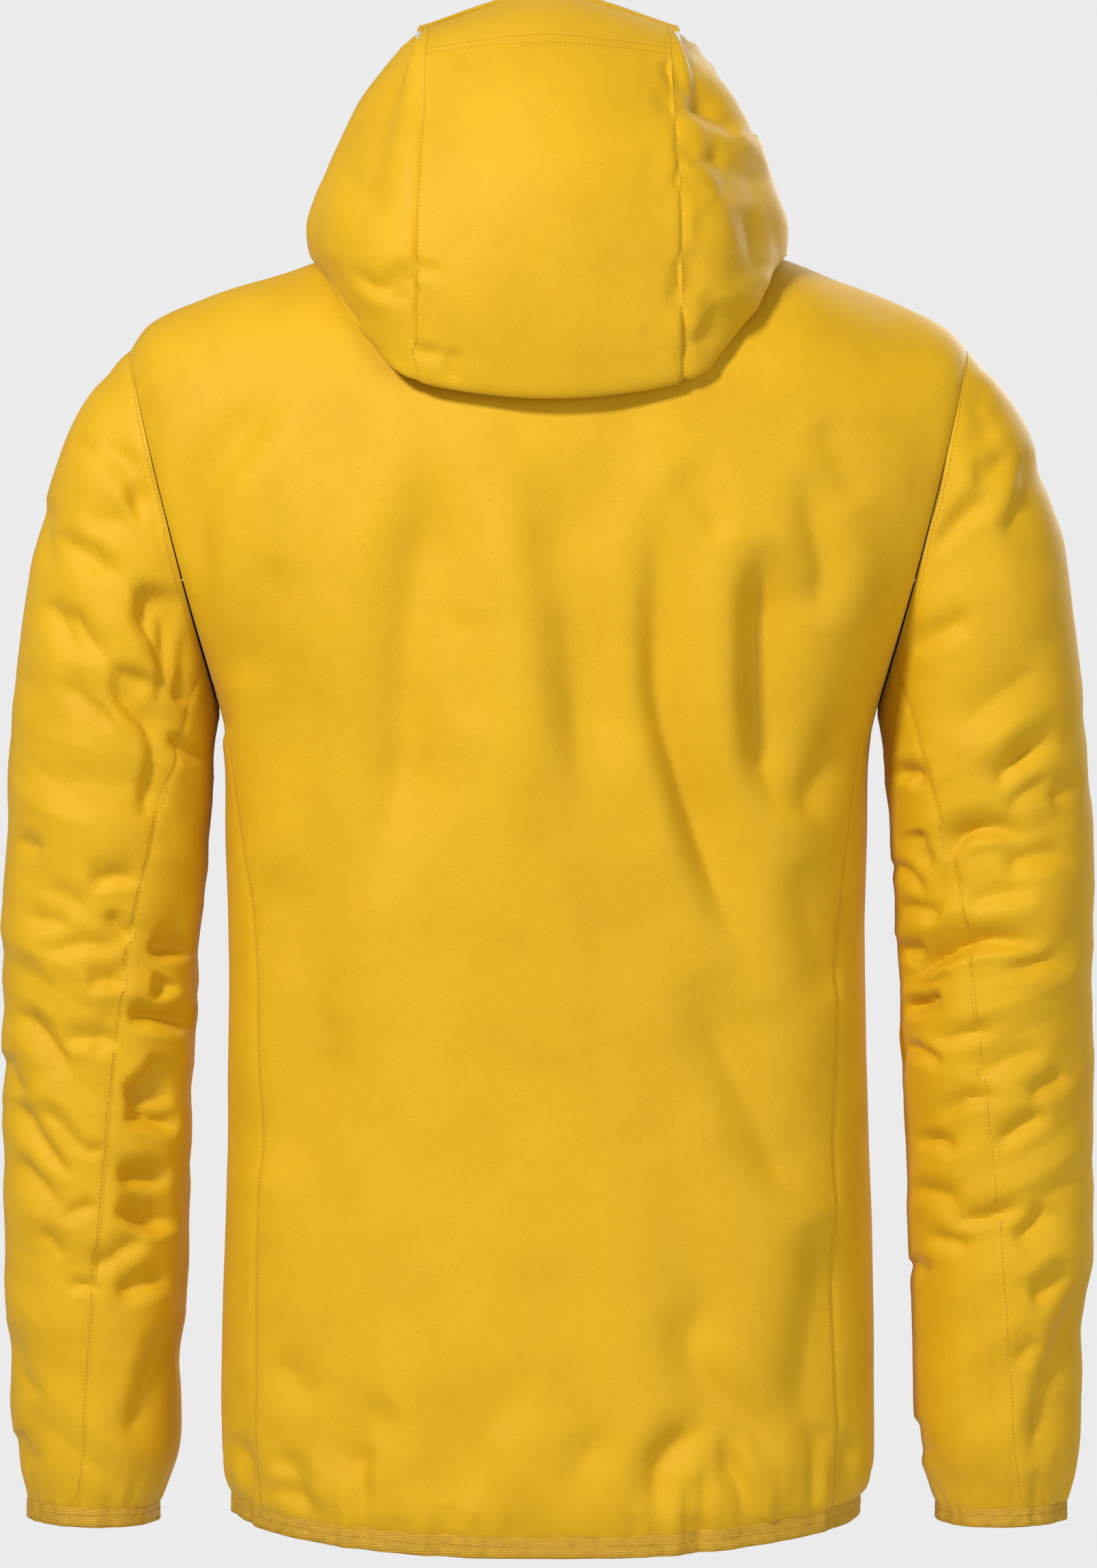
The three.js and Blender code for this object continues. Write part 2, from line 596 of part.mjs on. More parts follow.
function sleeves() {
  const seamTurn = degreesFor(seamGap / 2, 55);
  const seams = (place) => between(sleeveRings, place).slice(6);
  const topSleeve = (u, v) => {
    const [back, inner] = seams(v);
    return sleevePoint(lerp(inner - 360 + seamTurn, back - seamTurn, u), v);
  };
  const underSleeve = (u, v) => {
    const [back, inner] = seams(v);
    return sleevePoint(lerp(back + seamTurn, inner - seamTurn, u), v);
  };
  const cuff = (u, v) => {
    const p = sleevePoint(360 * u, 1);
    return p.setZ(p.z - seamGap - v * cuffHeight);
  };
  for (const [name, flip, outward] of [["left", (f) => f, -1], ["right", mirrored, 1]]) {
    const trim = clearOfArmhole(name === "left" ? 1 : -1);
    add(`sleeve_top_${name}`, shell(flip(topSleeve), { across: 11, along: 11, outward, trim }), cloth);
    add(`sleeve_under_${name}`, shell(flip(underSleeve), { across: 5, along: 11, outward, trim }), cloth);
    add(`cuff_binding_${name}`, shell(flip(cuff), { across: 18, along: 1, ring: true, outward }), elastic);
  }
}

// ---- Hood --------------------------------------------------------------------------------------
// The hood's slack lies on the shoulders from the neck seam out to its lower fold. From the fold,
// whose heights are its underside's, rows climb to the edge of the peak. Each row runs from the face opening, round the side, to the
// middle of the back.
const slackAngles = [-58, -40, -22, 6, 28, 46, 60, 90];
const slackRows = [
  { place: 0.02, rest: 3 + fabric },
  { place: 0.085, rest: 4.5 + fabric },
];
const hoodNet = [
  [[52, -99, -12], [90, -76, 3], [118, -35, 26], [141, 20, 25], [128, 64, 4], [106, 95, -28], [77, 113, -52], [0, 122, -59]],
  [[62, -99, 12], [95, -80, 26], [119, -38, 44], [142, 24, 43], [134, 66, 24], [114, 98, 0], [78, 124, -30], [0, 134, -40]],
  [[78, -96, 38], [102, -72, 48], [120, -36, 58], [138, 26, 57], [131, 68, 47], [112, 102, 26], [77, 128, 4], [0, 141, -6]],
  [[93, -86, 62], [110, -60, 68], [121, -28, 74], [131, 30, 76], [123, 64, 70], [105, 97, 54], [77, 124, 40], [0, 141, 36]],
  [[106, -62, 84], [114, -34, 89], [117, -6, 92], [123, 34, 93], [114, 62, 89], [97, 88, 80], [75, 113, 75], [0, 131, 72]],
  [[111, -32, 108], [113, -14, 111], [114, 4, 113], [111, 36, 116], [104, 54, 116], [90, 71, 114], [73, 88, 113], [0, 110, 114]],
  [[101, -6, 131], [100, 4, 133], [99, 14, 135], [95, 33, 137], [89, 46, 138], [81, 58, 139], [72, 70, 139], [0, 86, 144]],
  [[87, 10, 147], [86, 16, 149], [85, 21, 150], [82, 30, 152], [79, 36, 153], [75, 44, 153], [71, 51, 154], [0, 60, 167]],
  [[76, 18, 156], [75, 19, 157], [74.5, 20, 158], [74, 22, 159], [73, 23, 160], [72, 24.5, 161], [71, 26, 162], [0, 24, 182]],
];
const seamColumn = 6 / 7; // where the centre panel's seam lies across a row
const peakRow = 8 / 10; // where the peak's seam lies, from the neck seam to the edge

// A point that rests on the shoulders at a distance off them.
function onShoulders(angle, place, rest) {
  const step = 1e-3;
  const along = bodyPoint(angle, place + step).sub(bodyPoint(angle, place - step));
  const round = bodyPoint(angle + 1, place).sub(bodyPoint(angle - 1, place));
  const normal = along.cross(round).normalize();
  return bodyPoint(angle, place).addScaledVector(normal, rest).toArray();
}

const hoodRows = [
  ...slackRows.map(({ place, rest }) => slackAngles.map((angle) => onShoulders(angle, place, rest))),
  ...hoodNet.map((row, k) =>
    row.map(([x, y, z]) => [x * stretch.x, y * stretch.y, z + (k === 0 ? fabric : 0)]),
  ),
];

function hoodPoint(across, place) {
  const full = hoodRows.map((row) => {
    const other = row.slice(0, -1).map(([x, y, z]) => [-x, y, z]);
    return between([...row, ...other.reverse()], across / 2);
  });
  return new THREE.Vector3(...between(full, place));
}

function hood() {
  const seamShare = seamGap / 2 / 250;
  const foot = 0.01;
  const side = (u, v) => hoodPoint(lerp(0, seamColumn - seamShare * 2, u), lerp(foot, 1, v));
  const centre = (low, high) => (u, v) =>
    hoodPoint(lerp(seamColumn + seamShare, 2 - seamColumn - seamShare, u), lerp(low, high, v));
  for (const [name, flip, outward] of [["left", (f) => f, 1], ["right", mirrored, -1]]) {
    add(`hood_side_${name}`, shell(flip(side), { across: 8, along: 18, outward }), cloth);
    // The elastic lies along the inside of the face opening's edge.
    const band = (u, v) => hoodPoint(lerp(0.01, 0.09, u), lerp(0.3, 0.95, v));
    const strip = { across: 1, along: 12, wall: trimWall, lift: fabric + curveGap, outward };
    add(`hood_elastic_${name}`, shell(flip(band), strip), elastic);
  }
  const share = seamGap / 2 / 400;
  add("hood_center_panel", shell(centre(foot, peakRow - share), { across: 6, along: 14 }), cloth);
  add("hood_peak", shell(centre(peakRow + share, 1), { across: 6, along: 4 }), cloth);
}

bodyPanels();
hemBinding();
collar();
neckTrim();
frontZip();
pocketZips();
sleeves();
hood();

jacket.position.set(0, -hook.y, -hook.z);

export default jacket;
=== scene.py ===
import math

import bmesh
import bpy
import numpy as np
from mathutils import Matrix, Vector
from mathutils.kdtree import KDTree


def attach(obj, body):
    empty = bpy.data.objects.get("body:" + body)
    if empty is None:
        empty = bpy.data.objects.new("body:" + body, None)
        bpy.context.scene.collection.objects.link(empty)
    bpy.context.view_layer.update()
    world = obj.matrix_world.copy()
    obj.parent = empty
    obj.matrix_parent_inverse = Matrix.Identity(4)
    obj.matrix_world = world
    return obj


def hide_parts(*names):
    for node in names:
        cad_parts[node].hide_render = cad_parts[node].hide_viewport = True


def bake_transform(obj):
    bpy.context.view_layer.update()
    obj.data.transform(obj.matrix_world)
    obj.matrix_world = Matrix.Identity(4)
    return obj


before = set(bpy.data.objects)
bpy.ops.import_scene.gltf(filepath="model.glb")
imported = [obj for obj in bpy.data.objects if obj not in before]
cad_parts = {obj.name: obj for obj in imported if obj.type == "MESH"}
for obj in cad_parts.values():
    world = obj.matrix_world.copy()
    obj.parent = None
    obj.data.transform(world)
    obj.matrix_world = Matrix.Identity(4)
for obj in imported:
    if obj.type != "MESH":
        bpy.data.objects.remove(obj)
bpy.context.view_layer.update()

# ---- Sizes, in millimetres ---------------------------------------------------------------------
# Surfaces are worked out in the body's own measure, with the middle of the body at y = 0 and the
# neck seam's level near z = 0. HOOK is the hook's place in that measure, and the part's origin.
HOOK = np.array([0.0, 60.5, 31.0])
CLOTH = 0.9  # the shell fabric's thickness
HEM_HEIGHT, CUFF_HEIGHT = 11.0, 10.0  # the folded bindings
HEM_LINE = -722  # the height at which the cloth over a binding is gathered most

# The front zip's line: its top, and how far it leans forward for each millimetre down. The front
# panels stop ZIP_WINDOW short of it, and the front is flat for ZIP_FLAT either side.
ZIP_TOP_Y, ZIP_TOP_Z, ZIP_LEAN = -95.0, -30.0, 0.0364
ZIP_WINDOW, ZIP_FLAT = 9.0, 22.0

# The armhole's plane runs through its top and its bottom, down to a floor under the arm.
ARM_TOP = np.array([250.0, 0.0, -28.0])
ARM_BOTTOM = np.array([196.0, 0.0, -245.0])
ARM_FLOOR = -255.0

# The pocket zip's two ends, across and up, and the width of its mouth.
POCKET_TOP = np.array([118.0, -430.0])
POCKET_END = np.array([140.0, -592.0])
POCKET_SLOT = 8.0

# Where the folds are drawn from, and points that lie well inside what the cloth wraps.
WATCH_DISTANCE, WATCH_HEIGHT = 2867.0, -288.6
INSIDE_BODY, INSIDE_HEM = np.array([0, 0, -350.0]), np.array([0, 0, -720.0])
INSIDE_HOOD, HEAD = np.array([0, 0, 60.0]), np.array([0, 10, 60])
CUFF_X, CUFF_Y = 274.5, -29

# Rings of the body: half width, depth behind the middle, height at the side, at the back and at
# the front, roundness, and the angle of the shoulder or side seam.
BODY = np.array([
    [82, 72, 42, 12, -30, 2.0, -10],
    [120, 86, 30, -3, -42, 2.0, -10],
    [160, 98, 15, -21, -58, 2.0, -10],
    [203, 108, 0, -45, -78, 2.1, -10],
    [238, 116, -18, -75, -102, 2.2, -8],
    [259, 121, -45, -108, -130, 2.3, -4],
    [263, 125, -90, -145, -160, 2.3, 0],
    [243, 126, -150, -186, -194, 2.3, 4],
    [208, 126, -215, -226, -230, 2.3, 8],
    [192, 124, -262, -264, -266, 2.3, 13],
    [190, 119, -320, -320, -320, 2.3, 21],
    [189, 114, -400, -400, -400, 2.3, 26],
    [191, 112, -480, -480, -480, 2.3, 28],
    [194, 114, -560, -560, -560, 2.3, 29],
    [196, 117, -636, -638, -634, 2.3, 30],
    [195, 116, -692, -700, -688, 2.35, 30],
    [187, 110, -712, -725, -708, 2.4, 29],
])
COLLAR_TOP = [76, 66, 0, 0, 0, 2.0]
COLLAR_RISE = {"front": 67, "side": 34, "back": 50}

# Rings of a sleeve: the outer point's x and z, the inner point's x and z, half the depth, the
# middle's y, and the angles of the back and the inner seam.
SLEEVE = np.array([
    [250, -28, 196, -245, 68, 4, 150, 215],
    [283, -68, 198, -256, 70, 4, 146, 217],
    [303, -128, 200, -270, 69, 3, 140, 220],
    [314, -190, 202, -292, 67, 1, 133, 222],
    [321, -258, 205, -325, 65, -1, 125, 225],
    [326, -325, 208, -366, 62, -3, 117, 227],
    [327, -395, 211, -420, 60, -6, 110, 229],
    [327, -465, 214, -478, 58, -10, 105, 231],
    [327, -540, 217, -548, 56, -15, 99, 232],
    [326, -615, 219, -620, 55, -21, 93, 234],
    [323, -680, 222, -684, 52, -26, 88, 235],
    [313, -722, 236, -724, 42, -29, 84, 236],
])

# The hood, from the lower fold up to the peak's edge; each row runs from the face opening to the
# middle of the back.
SLACK_ANGLES = [-58, -40, -22, 6, 28, 46, 60, 90]
HOOD = [
    [[52, -99, -10], [90, -76, 5], [118, -35, 28], [141, 20, 27], [128, 64, 4], [106, 95, -30],
     [77, 114, -56], [0, 123, -66]],
    [[62, -99, 12], [95, -80, 26], [119, -38, 44], [142, 24, 43], [134, 66, 23], [114, 98, -3],
     [78, 124, -35], [0, 134, -47]],
    [[78, -96, 38], [102, -72, 48], [120, -36, 58], [138, 26, 57], [131, 68, 47], [112, 102, 26],
     [77, 128, 4], [0, 141, -6]],
    [[93, -86, 62], [110, -60, 68], [121, -28, 74], [131, 30, 76], [123, 64, 70], [105, 97, 54],
     [77, 124, 40], [0, 141, 36]],
    [[106, -62, 84], [114, -34, 89], [117, -6, 92], [123, 34, 93], [114, 62, 89], [97, 88, 80],
     [75, 113, 75], [0, 131, 72]],
    [[111, -32, 108], [113, -14, 111], [114, 4, 113], [111, 36, 116], [104, 54, 116], [90, 71, 114],
     [73, 88, 113], [0, 110, 114]],
    [[101, -6, 131], [100, 4, 133], [99, 14, 135], [95, 33, 137], [89, 46, 138], [81, 58, 139],
     [72, 70, 139], [0, 86, 144]],
    [[87, 10, 147], [86, 16, 149], [85, 21, 150], [82, 30, 152], [79, 36, 153], [75, 44, 153],
     [71, 51, 154], [0, 60, 167]],
    [[76, 18, 156], [75, 19, 157], [74.5, 20, 158], [74, 22, 159], [73, 23, 160], [72, 24.5, 161],
     [71, 26, 162], [0, 24, 182]],
]
# The hood's side seam's column, its peak seam's row, and the row on which its panels begin.
SEAM_COLUMN, PEAK_ROW, FOOT_ROW = 6 / 7, 8 / 10, 0.012


# ---- Numbers -----------------------------------------------------------------------------------
def to_frame(points):
    return (np.asarray(points, float) - HOOK) / 1000


def smooth(t):
    t = np.clip(t, 0, 1)
    return t * t * (3 - 2 * t)


def power(value, exponent):
    return np.sign(value) * np.abs(value) ** exponent


def unit(vectors):
    return vectors / np.maximum(np.linalg.norm(vectors, axis=-1, keepdims=True), 1e-9)


def part_way(low, high, share):
    return low + (high - low) * share


def run_along(points):
    """How far along a line of points each of them lies."""
    return np.concatenate([[0], np.cumsum(np.linalg.norm(np.diff(points, axis=0), axis=1))])


def curve_at(p, q, r, s, t):
    """A Catmull-Rom curve from q to r, with p before them and s after."""
    return 0.5 * (
        2 * q + (r - p) * t + (2 * p - 5 * q + 4 * r - s) * t**2 + (3 * q - p - 3 * r + s) * t**3
    )


def between(table, place):
    """Rows of a table on a smooth curve through it; place runs from 0 to 1."""
    table, place = np.asarray(table, float), np.clip(np.asarray(place, float), 0, 1)
    last = len(table) - 1
    at = place * last
    i = np.minimum(at.astype(int), last - 1)
    t = (at - i).reshape(-1, *([1] * (table.ndim - 1)))
    p, q, r, s = (table[np.clip(i + k, 0, last)] for k in (-1, 0, 1, 2))
    return curve_at(p, q, r, s, t)


CELLS = 64  # the noise repeats after this many cells
lattice = np.random.default_rng(4).random((CELLS, CELLS, CELLS))


def noise(points, size):
    """Smooth noise from -1 to 1 on points, with cells of the given size along x, y and z."""
    p = np.asarray(points, float) / np.asarray(size, float) + 64
    i = np.floor(p).astype(int)
    f = smooth(p - i)
    total = 0
    for corner in np.ndindex(2, 2, 2):
        x, y, z = (f[:, k] if far else 1 - f[:, k] for k, far in enumerate(corner))
        total = total + x * y * z * lattice[tuple(((i + corner) % CELLS).T)]
    return 2 * total - 1


def facets(flat, size):
    """Heights from -1 to 1 over a flat measure, as a net of flat facets that meet in creases."""
    p = flat / np.asarray(size, float) + 96
    i = np.floor(p).astype(int)
    s, t = (p - i).T

    def corner(a, b):
        return lattice[(i[:, 0] + a) % CELLS, (i[:, 1] + b) % CELLS, 7]

    low = corner(0, 0) * (1 - s - t) + corner(1, 0) * s + corner(0, 1) * t
    high = corner(1, 1) * (s + t - 1) + corner(0, 1) * (1 - s) + corner(1, 0) * (1 - t)
    return 2 * np.where(s + t < 1, low, high) - 1


def crumple(points, around, size, lean=0.0):
    """Facets over a rolled-up piece, from the way round it and the height, a little uneven."""
    cell, reach = (52, 52, 52), 15
    pull = np.stack([noise(points, cell), noise(points + 400, cell)], 1) * reach
    return facets(np.stack([around + lean * points[:, 2], points[:, 2]], 1) + pull, size)


# ---- The garment's surfaces --------------------------------------------------------------------
def zip_y(z):
    return ZIP_TOP_Y - ZIP_LEAN * (ZIP_TOP_Z - z)


def front_reach(x, half, roundness):
    past = np.maximum(0, np.abs(x) - ZIP_FLAT) / (half - ZIP_FLAT)
    return np.maximum(0, 1 - past**roundness) ** (1 / roundness)


def ring_point(rows, angle):
    half, back, z_side, z_back, z_front, roundness = (rows[:, k] for k in range(6))
    c, s = np.cos(np.radians(angle)), np.sin(np.radians(angle))
    x = half * power(c, 2 / roundness)
    front = zip_y(z_front) * front_reach(x, half, roundness)
    y = np.where(s > 0, back * power(np.abs(s), 2 / roundness), front)
    return np.stack([x, y, z_side * c * c + np.where(s > 0, z_back, z_front) * s * s], 1)


def body_point(angle, place):
    return ring_point(between(BODY, place), angle)


def zip_edge_angle(place):
    rows = between(BODY, place)
    return -90 + np.degrees(np.arcsin((ZIP_WINDOW / rows[:, 0]) ** (rows[:, 5] / 2)))


def side_seam_angle(place):
    return between(BODY, place)[:, 6]


arm_middle = (ARM_TOP + ARM_BOTTOM) / 2
arm_up = (ARM_TOP - ARM_BOTTOM) / np.linalg.norm(ARM_TOP - ARM_BOTTOM)
arm_out = np.array([arm_up[2], 0.0, -arm_up[0]])


def past_armhole(points):
    """How far points lie outside the armhole's plane, on whichever side of the body they are."""
    mirrored = points * np.sign(points[:, :1] + 1e-9) ** np.array([1, 0, 0])
    return (mirrored - arm_middle) @ arm_out


def armhole_outline():
    """The armhole's edge on the body: the angle round it, and how far up and across it lies."""
    angles, places = np.arange(-70, 71, 1.0), np.linspace(0.1, 0.56, 241)
    found = []
    for angle in angles:
        points = body_point(np.full(places.shape, angle), places)
        height = (points - arm_middle) @ arm_out
        for k in np.nonzero(height[:-1] * height[1:] <= 0)[0]:
            t = height[k] / (height[k] - height[k + 1])
            p = part_way(points[k], points[k + 1], t)
            up = (p - arm_middle) @ arm_up
            if p[2] > ARM_FLOOR:
                found.append((math.atan2(p[1], up), up, p[1]))
    return np.array(sorted(found))


outline = armhole_outline()


def drawn_sleeve(turn, place):
    rows = between(SLEEVE, place)
    outer_x, outer_z, inner_x, inner_z, depth, middle_y = (rows[:, k] for k in range(6))
    c, s = np.cos(np.radians(turn)), np.sin(np.radians(turn))
    x = (outer_x + inner_x) / 2 + (outer_x - inner_x) / 2 * c
    z = (outer_z + inner_z) / 2 + (outer_z - inner_z) / 2 * c
    return np.stack([x, middle_y + depth * s, z], 1)


def sleeve_point(turn, place):
    """A sleeve's surface, drawn to the armhole's edge at its head."""
    start = drawn_sleeve(turn, np.zeros_like(place))
    around = np.arctan2(start[:, 1], (start - arm_middle) @ arm_up)
    up = np.interp(around, outline[:, 0], outline[:, 1], period=2 * np.pi)
    across = np.interp(around, outline[:, 0], outline[:, 2], period=2 * np.pi)
    target = arm_middle + up[:, None] * arm_up
    target[:, 1] = across
    away = 1 - smooth(place / 0.3)
    return drawn_sleeve(turn, place) + (target - start) * away[:, None]


def on_shoulders(angle, place, rest):
    """A point that rests off the body's surface, along its normal."""
    step = 1e-3
    along = body_point(angle, place + step) - body_point(angle, place - step)
    around = body_point(angle + 1, place) - body_point(angle - 1, place)
    return body_point(angle, place) + rest * unit(np.cross(along, around))


slack = np.array(SLACK_ANGLES, float)
hood_foot = [on_shoulders(slack, np.full(8, at), rest) for at, rest in ((0.02, 5), (0.085, 6.5))]
hood_rows = np.array(hood_foot + [np.array(row, float) for row in HOOD])
hood_net = np.concatenate([hood_rows, hood_rows[:, -2::-1] * [-1, 1, 1]], 1)


def hood_point(across, place):
    """across runs from the left face edge, 0, over the middle of the back, 1, to the right, 2."""
    rows = between(hood_net, place)
    last = rows.shape[1] - 1
    at = np.clip(across / 2, 0, 1) * last
    i = np.minimum(at.astype(int), last - 1)
    t = (at - i)[:, None]
    n = np.arange(len(at))
    p, q, r, s = (rows[n, np.clip(i + k, 0, last)] for k in (-1, 0, 1, 2))
    return curve_at(p, q, r, s, t)


# ---- Folds -------------------------------------------------------------------------------------
# How much deeper than its table each panel's folds are pressed, how round their bottoms are, and
# how much wider their walls.
BACK_PRESS, FRONT_PRESS = (1.75, 1.7, 1.3), (1.3, 1.8, 1.15)
SLEEVE_PRESS, HOOD_PRESS = (2.0, 1.4), (1.2, 1.5)


def seen_from_behind(points):
    """Where points appear across and up, from the height and distance that folds are drawn for."""
    grow = WATCH_DISTANCE / (WATCH_DISTANCE - points[:, 1])
    return np.stack([points[:, 0] * grow, WATCH_HEIGHT + (points[:, 2] - WATCH_HEIGHT) * grow], 1)


def fold_height(seen, path, depth, left, right, crease, ends=0.3):
    """A fold along a path: a groove, or a ridge if depth is negative, whose two walls have their
    own widths, left and right of the path as it runs down. A low crease is a sharp bottom."""
    curve = between(np.array(path, float), np.linspace(0, 1, 5 * len(path)))
    reach = 4 * max(left, right)  # past this the fold has died out
    near = ((seen > curve.min(0) - reach) & (seen < curve.max(0) + reach)).all(1)
    height = np.zeros(len(seen))
    seen = seen[near]
    if not len(seen):
        return height
    a, b = curve[:-1], curve[1:]
    span = b - a
    length = np.maximum((span**2).sum(1), 1e-9)
    t = np.clip(((seen[:, None] - a) * span).sum(2) / length, 0, 1)
    off = seen[:, None] - (a + t[..., None] * span)
    far = (off**2).sum(2)
    k = far.argmin(1)
    n = np.arange(len(seen))
    distance = np.sqrt(far[n, k])
    side = span[k, 0] * off[n, k, 1] - span[k, 1] * off[n, k, 0]
    along = (k + t[n, k]) / len(span)
    taper = smooth(along / ends) * smooth((1 - along) / ends)
    width = np.where(side < 0, right, left)
    d = distance / width
    shoulder = 0.12 * np.exp(-((d - 2.1) ** 2) / 0.9)  # cloth swells a little beside a fold
    height[near] = -depth * taper * (np.exp(-(d**crease)) - shoulder)
    return height


def press(seen, strokes, deeper, crease, wider=1.0, narrowest=3.4):
    """All folds together; the cloth can't turn in less than the narrowest wall."""
    total = np.zeros(len(seen))
    for path, depth, left, right in strokes:
        walls = max(left * wider, narrowest), max(right * wider, narrowest)
        total += fold_height(seen, path, depth * deeper, *walls, crease)
    return total


# Each fold is its path across and down the back, its depth, and the widths of its walls.
BACK_FOLDS = [
    ([(52, -84), (66, -115), (78, -150), (84, -190), (88, -232), (91, -275), (95, -315),
      (105, -375)], 8.5, 13, 30),
    ([(2, -80), (-2, -115), (-6, -155), (-11, -192), (-16, -237), (-19, -275),
      (-22, -330)], 7.5, 10, 30),
    ([(50, -180), (49, -215), (47, -260)], 1.6, 10, 12),
    ([(-70, -105), (-68, -140), (-67, -190), (-68, -225), (-72, -252), (-82, -286), (-94, -322),
      (-112, -372), (-132, -420)], 8.5, 8, 17),
    ([(-133, -138), (-130, -170), (-129, -205), (-130, -245), (-134, -280),
      (-143, -318)], 10.5, 10, 18),
    ([(-150, -98), (-161, -138), (-166, -165), (-160, -195)], 4.0, 8, 9),
    ([(-185, -245), (-168, -280), (-152, -312)], 3.6, 9, 8),
    ([(-78, -96), (-94, -120), (-106, -145)], 2.6, 7, 8),
    ([(150, -46), (171, -61), (187, -80), (205, -105), (216, -140), (216, -210),
      (213, -290)], 5.0, 13, 9),
    ([(165, -150), (177, -195), (186, -232)], 2.0, 9, 10),
    ([(-160, -70), (-175, -96), (-184, -125)], 2.2, 10, 10),
    ([(165, -330), (150, -390), (140, -450)], 2.6, 16, 18),
    ([(-150, -330), (-160, -380), (-172, -420)], 2.6, 12, 14),
    ([(-30, -330), (-36, -420), (-40, -520)], 2.4, 14, 40),
    ([(124, -422), (140, -462), (156, -496), (167, -532)], 4.0, 18, 16),
    ([(-84, -400), (-101, -432), (-116, -464), (-129, -494), (-142, -523),
      (-155, -552)], 5.5, 12, 26),
    ([(-158, -547), (-165, -581), (-161, -619), (-156, -658), (-156, -698)], 4.6, 13, 20),
    ([(-85, -563), (-92, -603), (-86, -624), (-94, -645), (-113, -661), (-129, -680),
      (-137, -698)], 3.6, 12, 9),
    ([(-101, -675), (-84, -680), (-72, -690), (-66, -702), (-67, -716), (-76, -726)], 5.0, 8, 7),
    ([(-102, -678), (-110, -696), (-117, -712), (-119, -730), (-114, -742)], 4.4, 7, 5),
    ([(-42, -675), (-28, -685), (-20, -698), (-17, -714), (-17, -730), (-14, -742)], 4.8, 9, 8),
    ([(3, -638), (23, -658), (39, -680), (44, -701), (49, -720), (55, -736)], 5.2, 20, 9),
    ([(89, -658), (105, -672), (116, -688), (125, -706)], 3.6, 13, 10),
    ([(106, -684), (116, -701), (113, -714), (119, -734)], 3.0, 7, 6),
    ([(168, -692), (154, -698), (150, -712), (149, -726)], 2.4, 4, 5),
    ([(172, -712), (156, -713), (142, -722), (125, -734)], 2.2, 4, 4),
    ([(191, -676), (185, -693), (180, -709), (171, -721)], 3.0, 4, 6),
    ([(170, -634), (153, -645), (141, -662)], 2.2, 9, 9),
    ([(62, -722), (58, -728), (63, -740)], 2.2, 4, 3),
    ([(44, -726), (41, -734), (43, -742)], 2.0, 3, 3),
    ([(17, -729), (22, -736), (24, -744)], 2.2, 4, 3),
    ([(1, -730), (-2, -738), (1, -745)], 1.8, 3, 3),
    ([(-26, -728), (-29, -736), (-33, -746)], 1.8, 3, 3),
    ([(-52, -725), (-52, -736), (-49, -748)], 2.4, 4, 3),
    ([(-84, -728), (-92, -736), (-94, -748)], 2.4, 4, 3),
    ([(-132, -728), (-129, -736), (-124, -742)], 2.4, 5, 3),
    ([(-145, -725), (-149, -733), (-147, -738)], 2.0, 3, 3),
    ([(-183, -676), (-179, -698), (-176, -724)], 2.6, 5, 5),
    ([(-169, -669), (-163, -698), (-160, -728)], 3.0, 8, 6),
    ([(87, -728), (89, -736), (81, -740)], 1.8, 4, 3),
]
# The front's folds are drawn as the front is seen, across and down.
FRONT_FOLDS = [
    ([(178, -232), (158, -250), (134, -275), (112, -310), (98, -352)], 4.6, 12, 20),
    ([(-182, -236), (-164, -262), (-144, -296), (-130, -340), (-120, -392)], 4.8, 18, 12),
    ([(188, -190), (170, -182), (146, -180), (118, -188)], 3.2, 9, 12),
    ([(-190, -200), (-168, -190), (-140, -192), (-112, -206)], 3.0, 9, 12),
    ([(92, -110), (98, -150), (96, -196), (86, -244)], 3.4, 16, 20),
    ([(-88, -120), (-98, -160), (-100, -210), (-92, -262), (-80, -308)], 3.6, 18, 16),
    ([(60, -330), (66, -400), (60, -470), (64, -540)], 2.8, 18, 22),
    ([(-58, -360), (-66, -430), (-62, -510), (-70, -580)], 3.0, 22, 18),
    ([(172, -420), (166, -480), (170, -540), (162, -600)], 3.0, 12, 14),
    ([(-176, -400), (-168, -460), (-172, -530), (-164, -590)], 3.0, 14, 12),
    ([(96, -628), (88, -660), (94, -692), (88, -724)], 4.0, 12, 14),
    ([(-92, -634), (-100, -664), (-94, -694), (-102, -724)], 4.0, 12, 14),
    ([(46, -648), (52, -676), (46, -704), (50, -728)], 3.0, 9, 10),
    ([(-48, -654), (-44, -682), (-50, -706), (-46, -728)], 3.0, 9, 10),
    ([(150, -640), (158, -668), (150, -698), (156, -724)], 3.4, 10, 10),
    ([(-148, -636), (-140, -666), (-150, -696), (-142, -726)], 3.4, 10, 10),
    ([(110, -60), (136, -74), (160, -98), (176, -130)], 3.0, 12, 10),
    ([(-112, -62), (-138, -78), (-158, -104), (-172, -138)], 3.0, 10, 12),
]
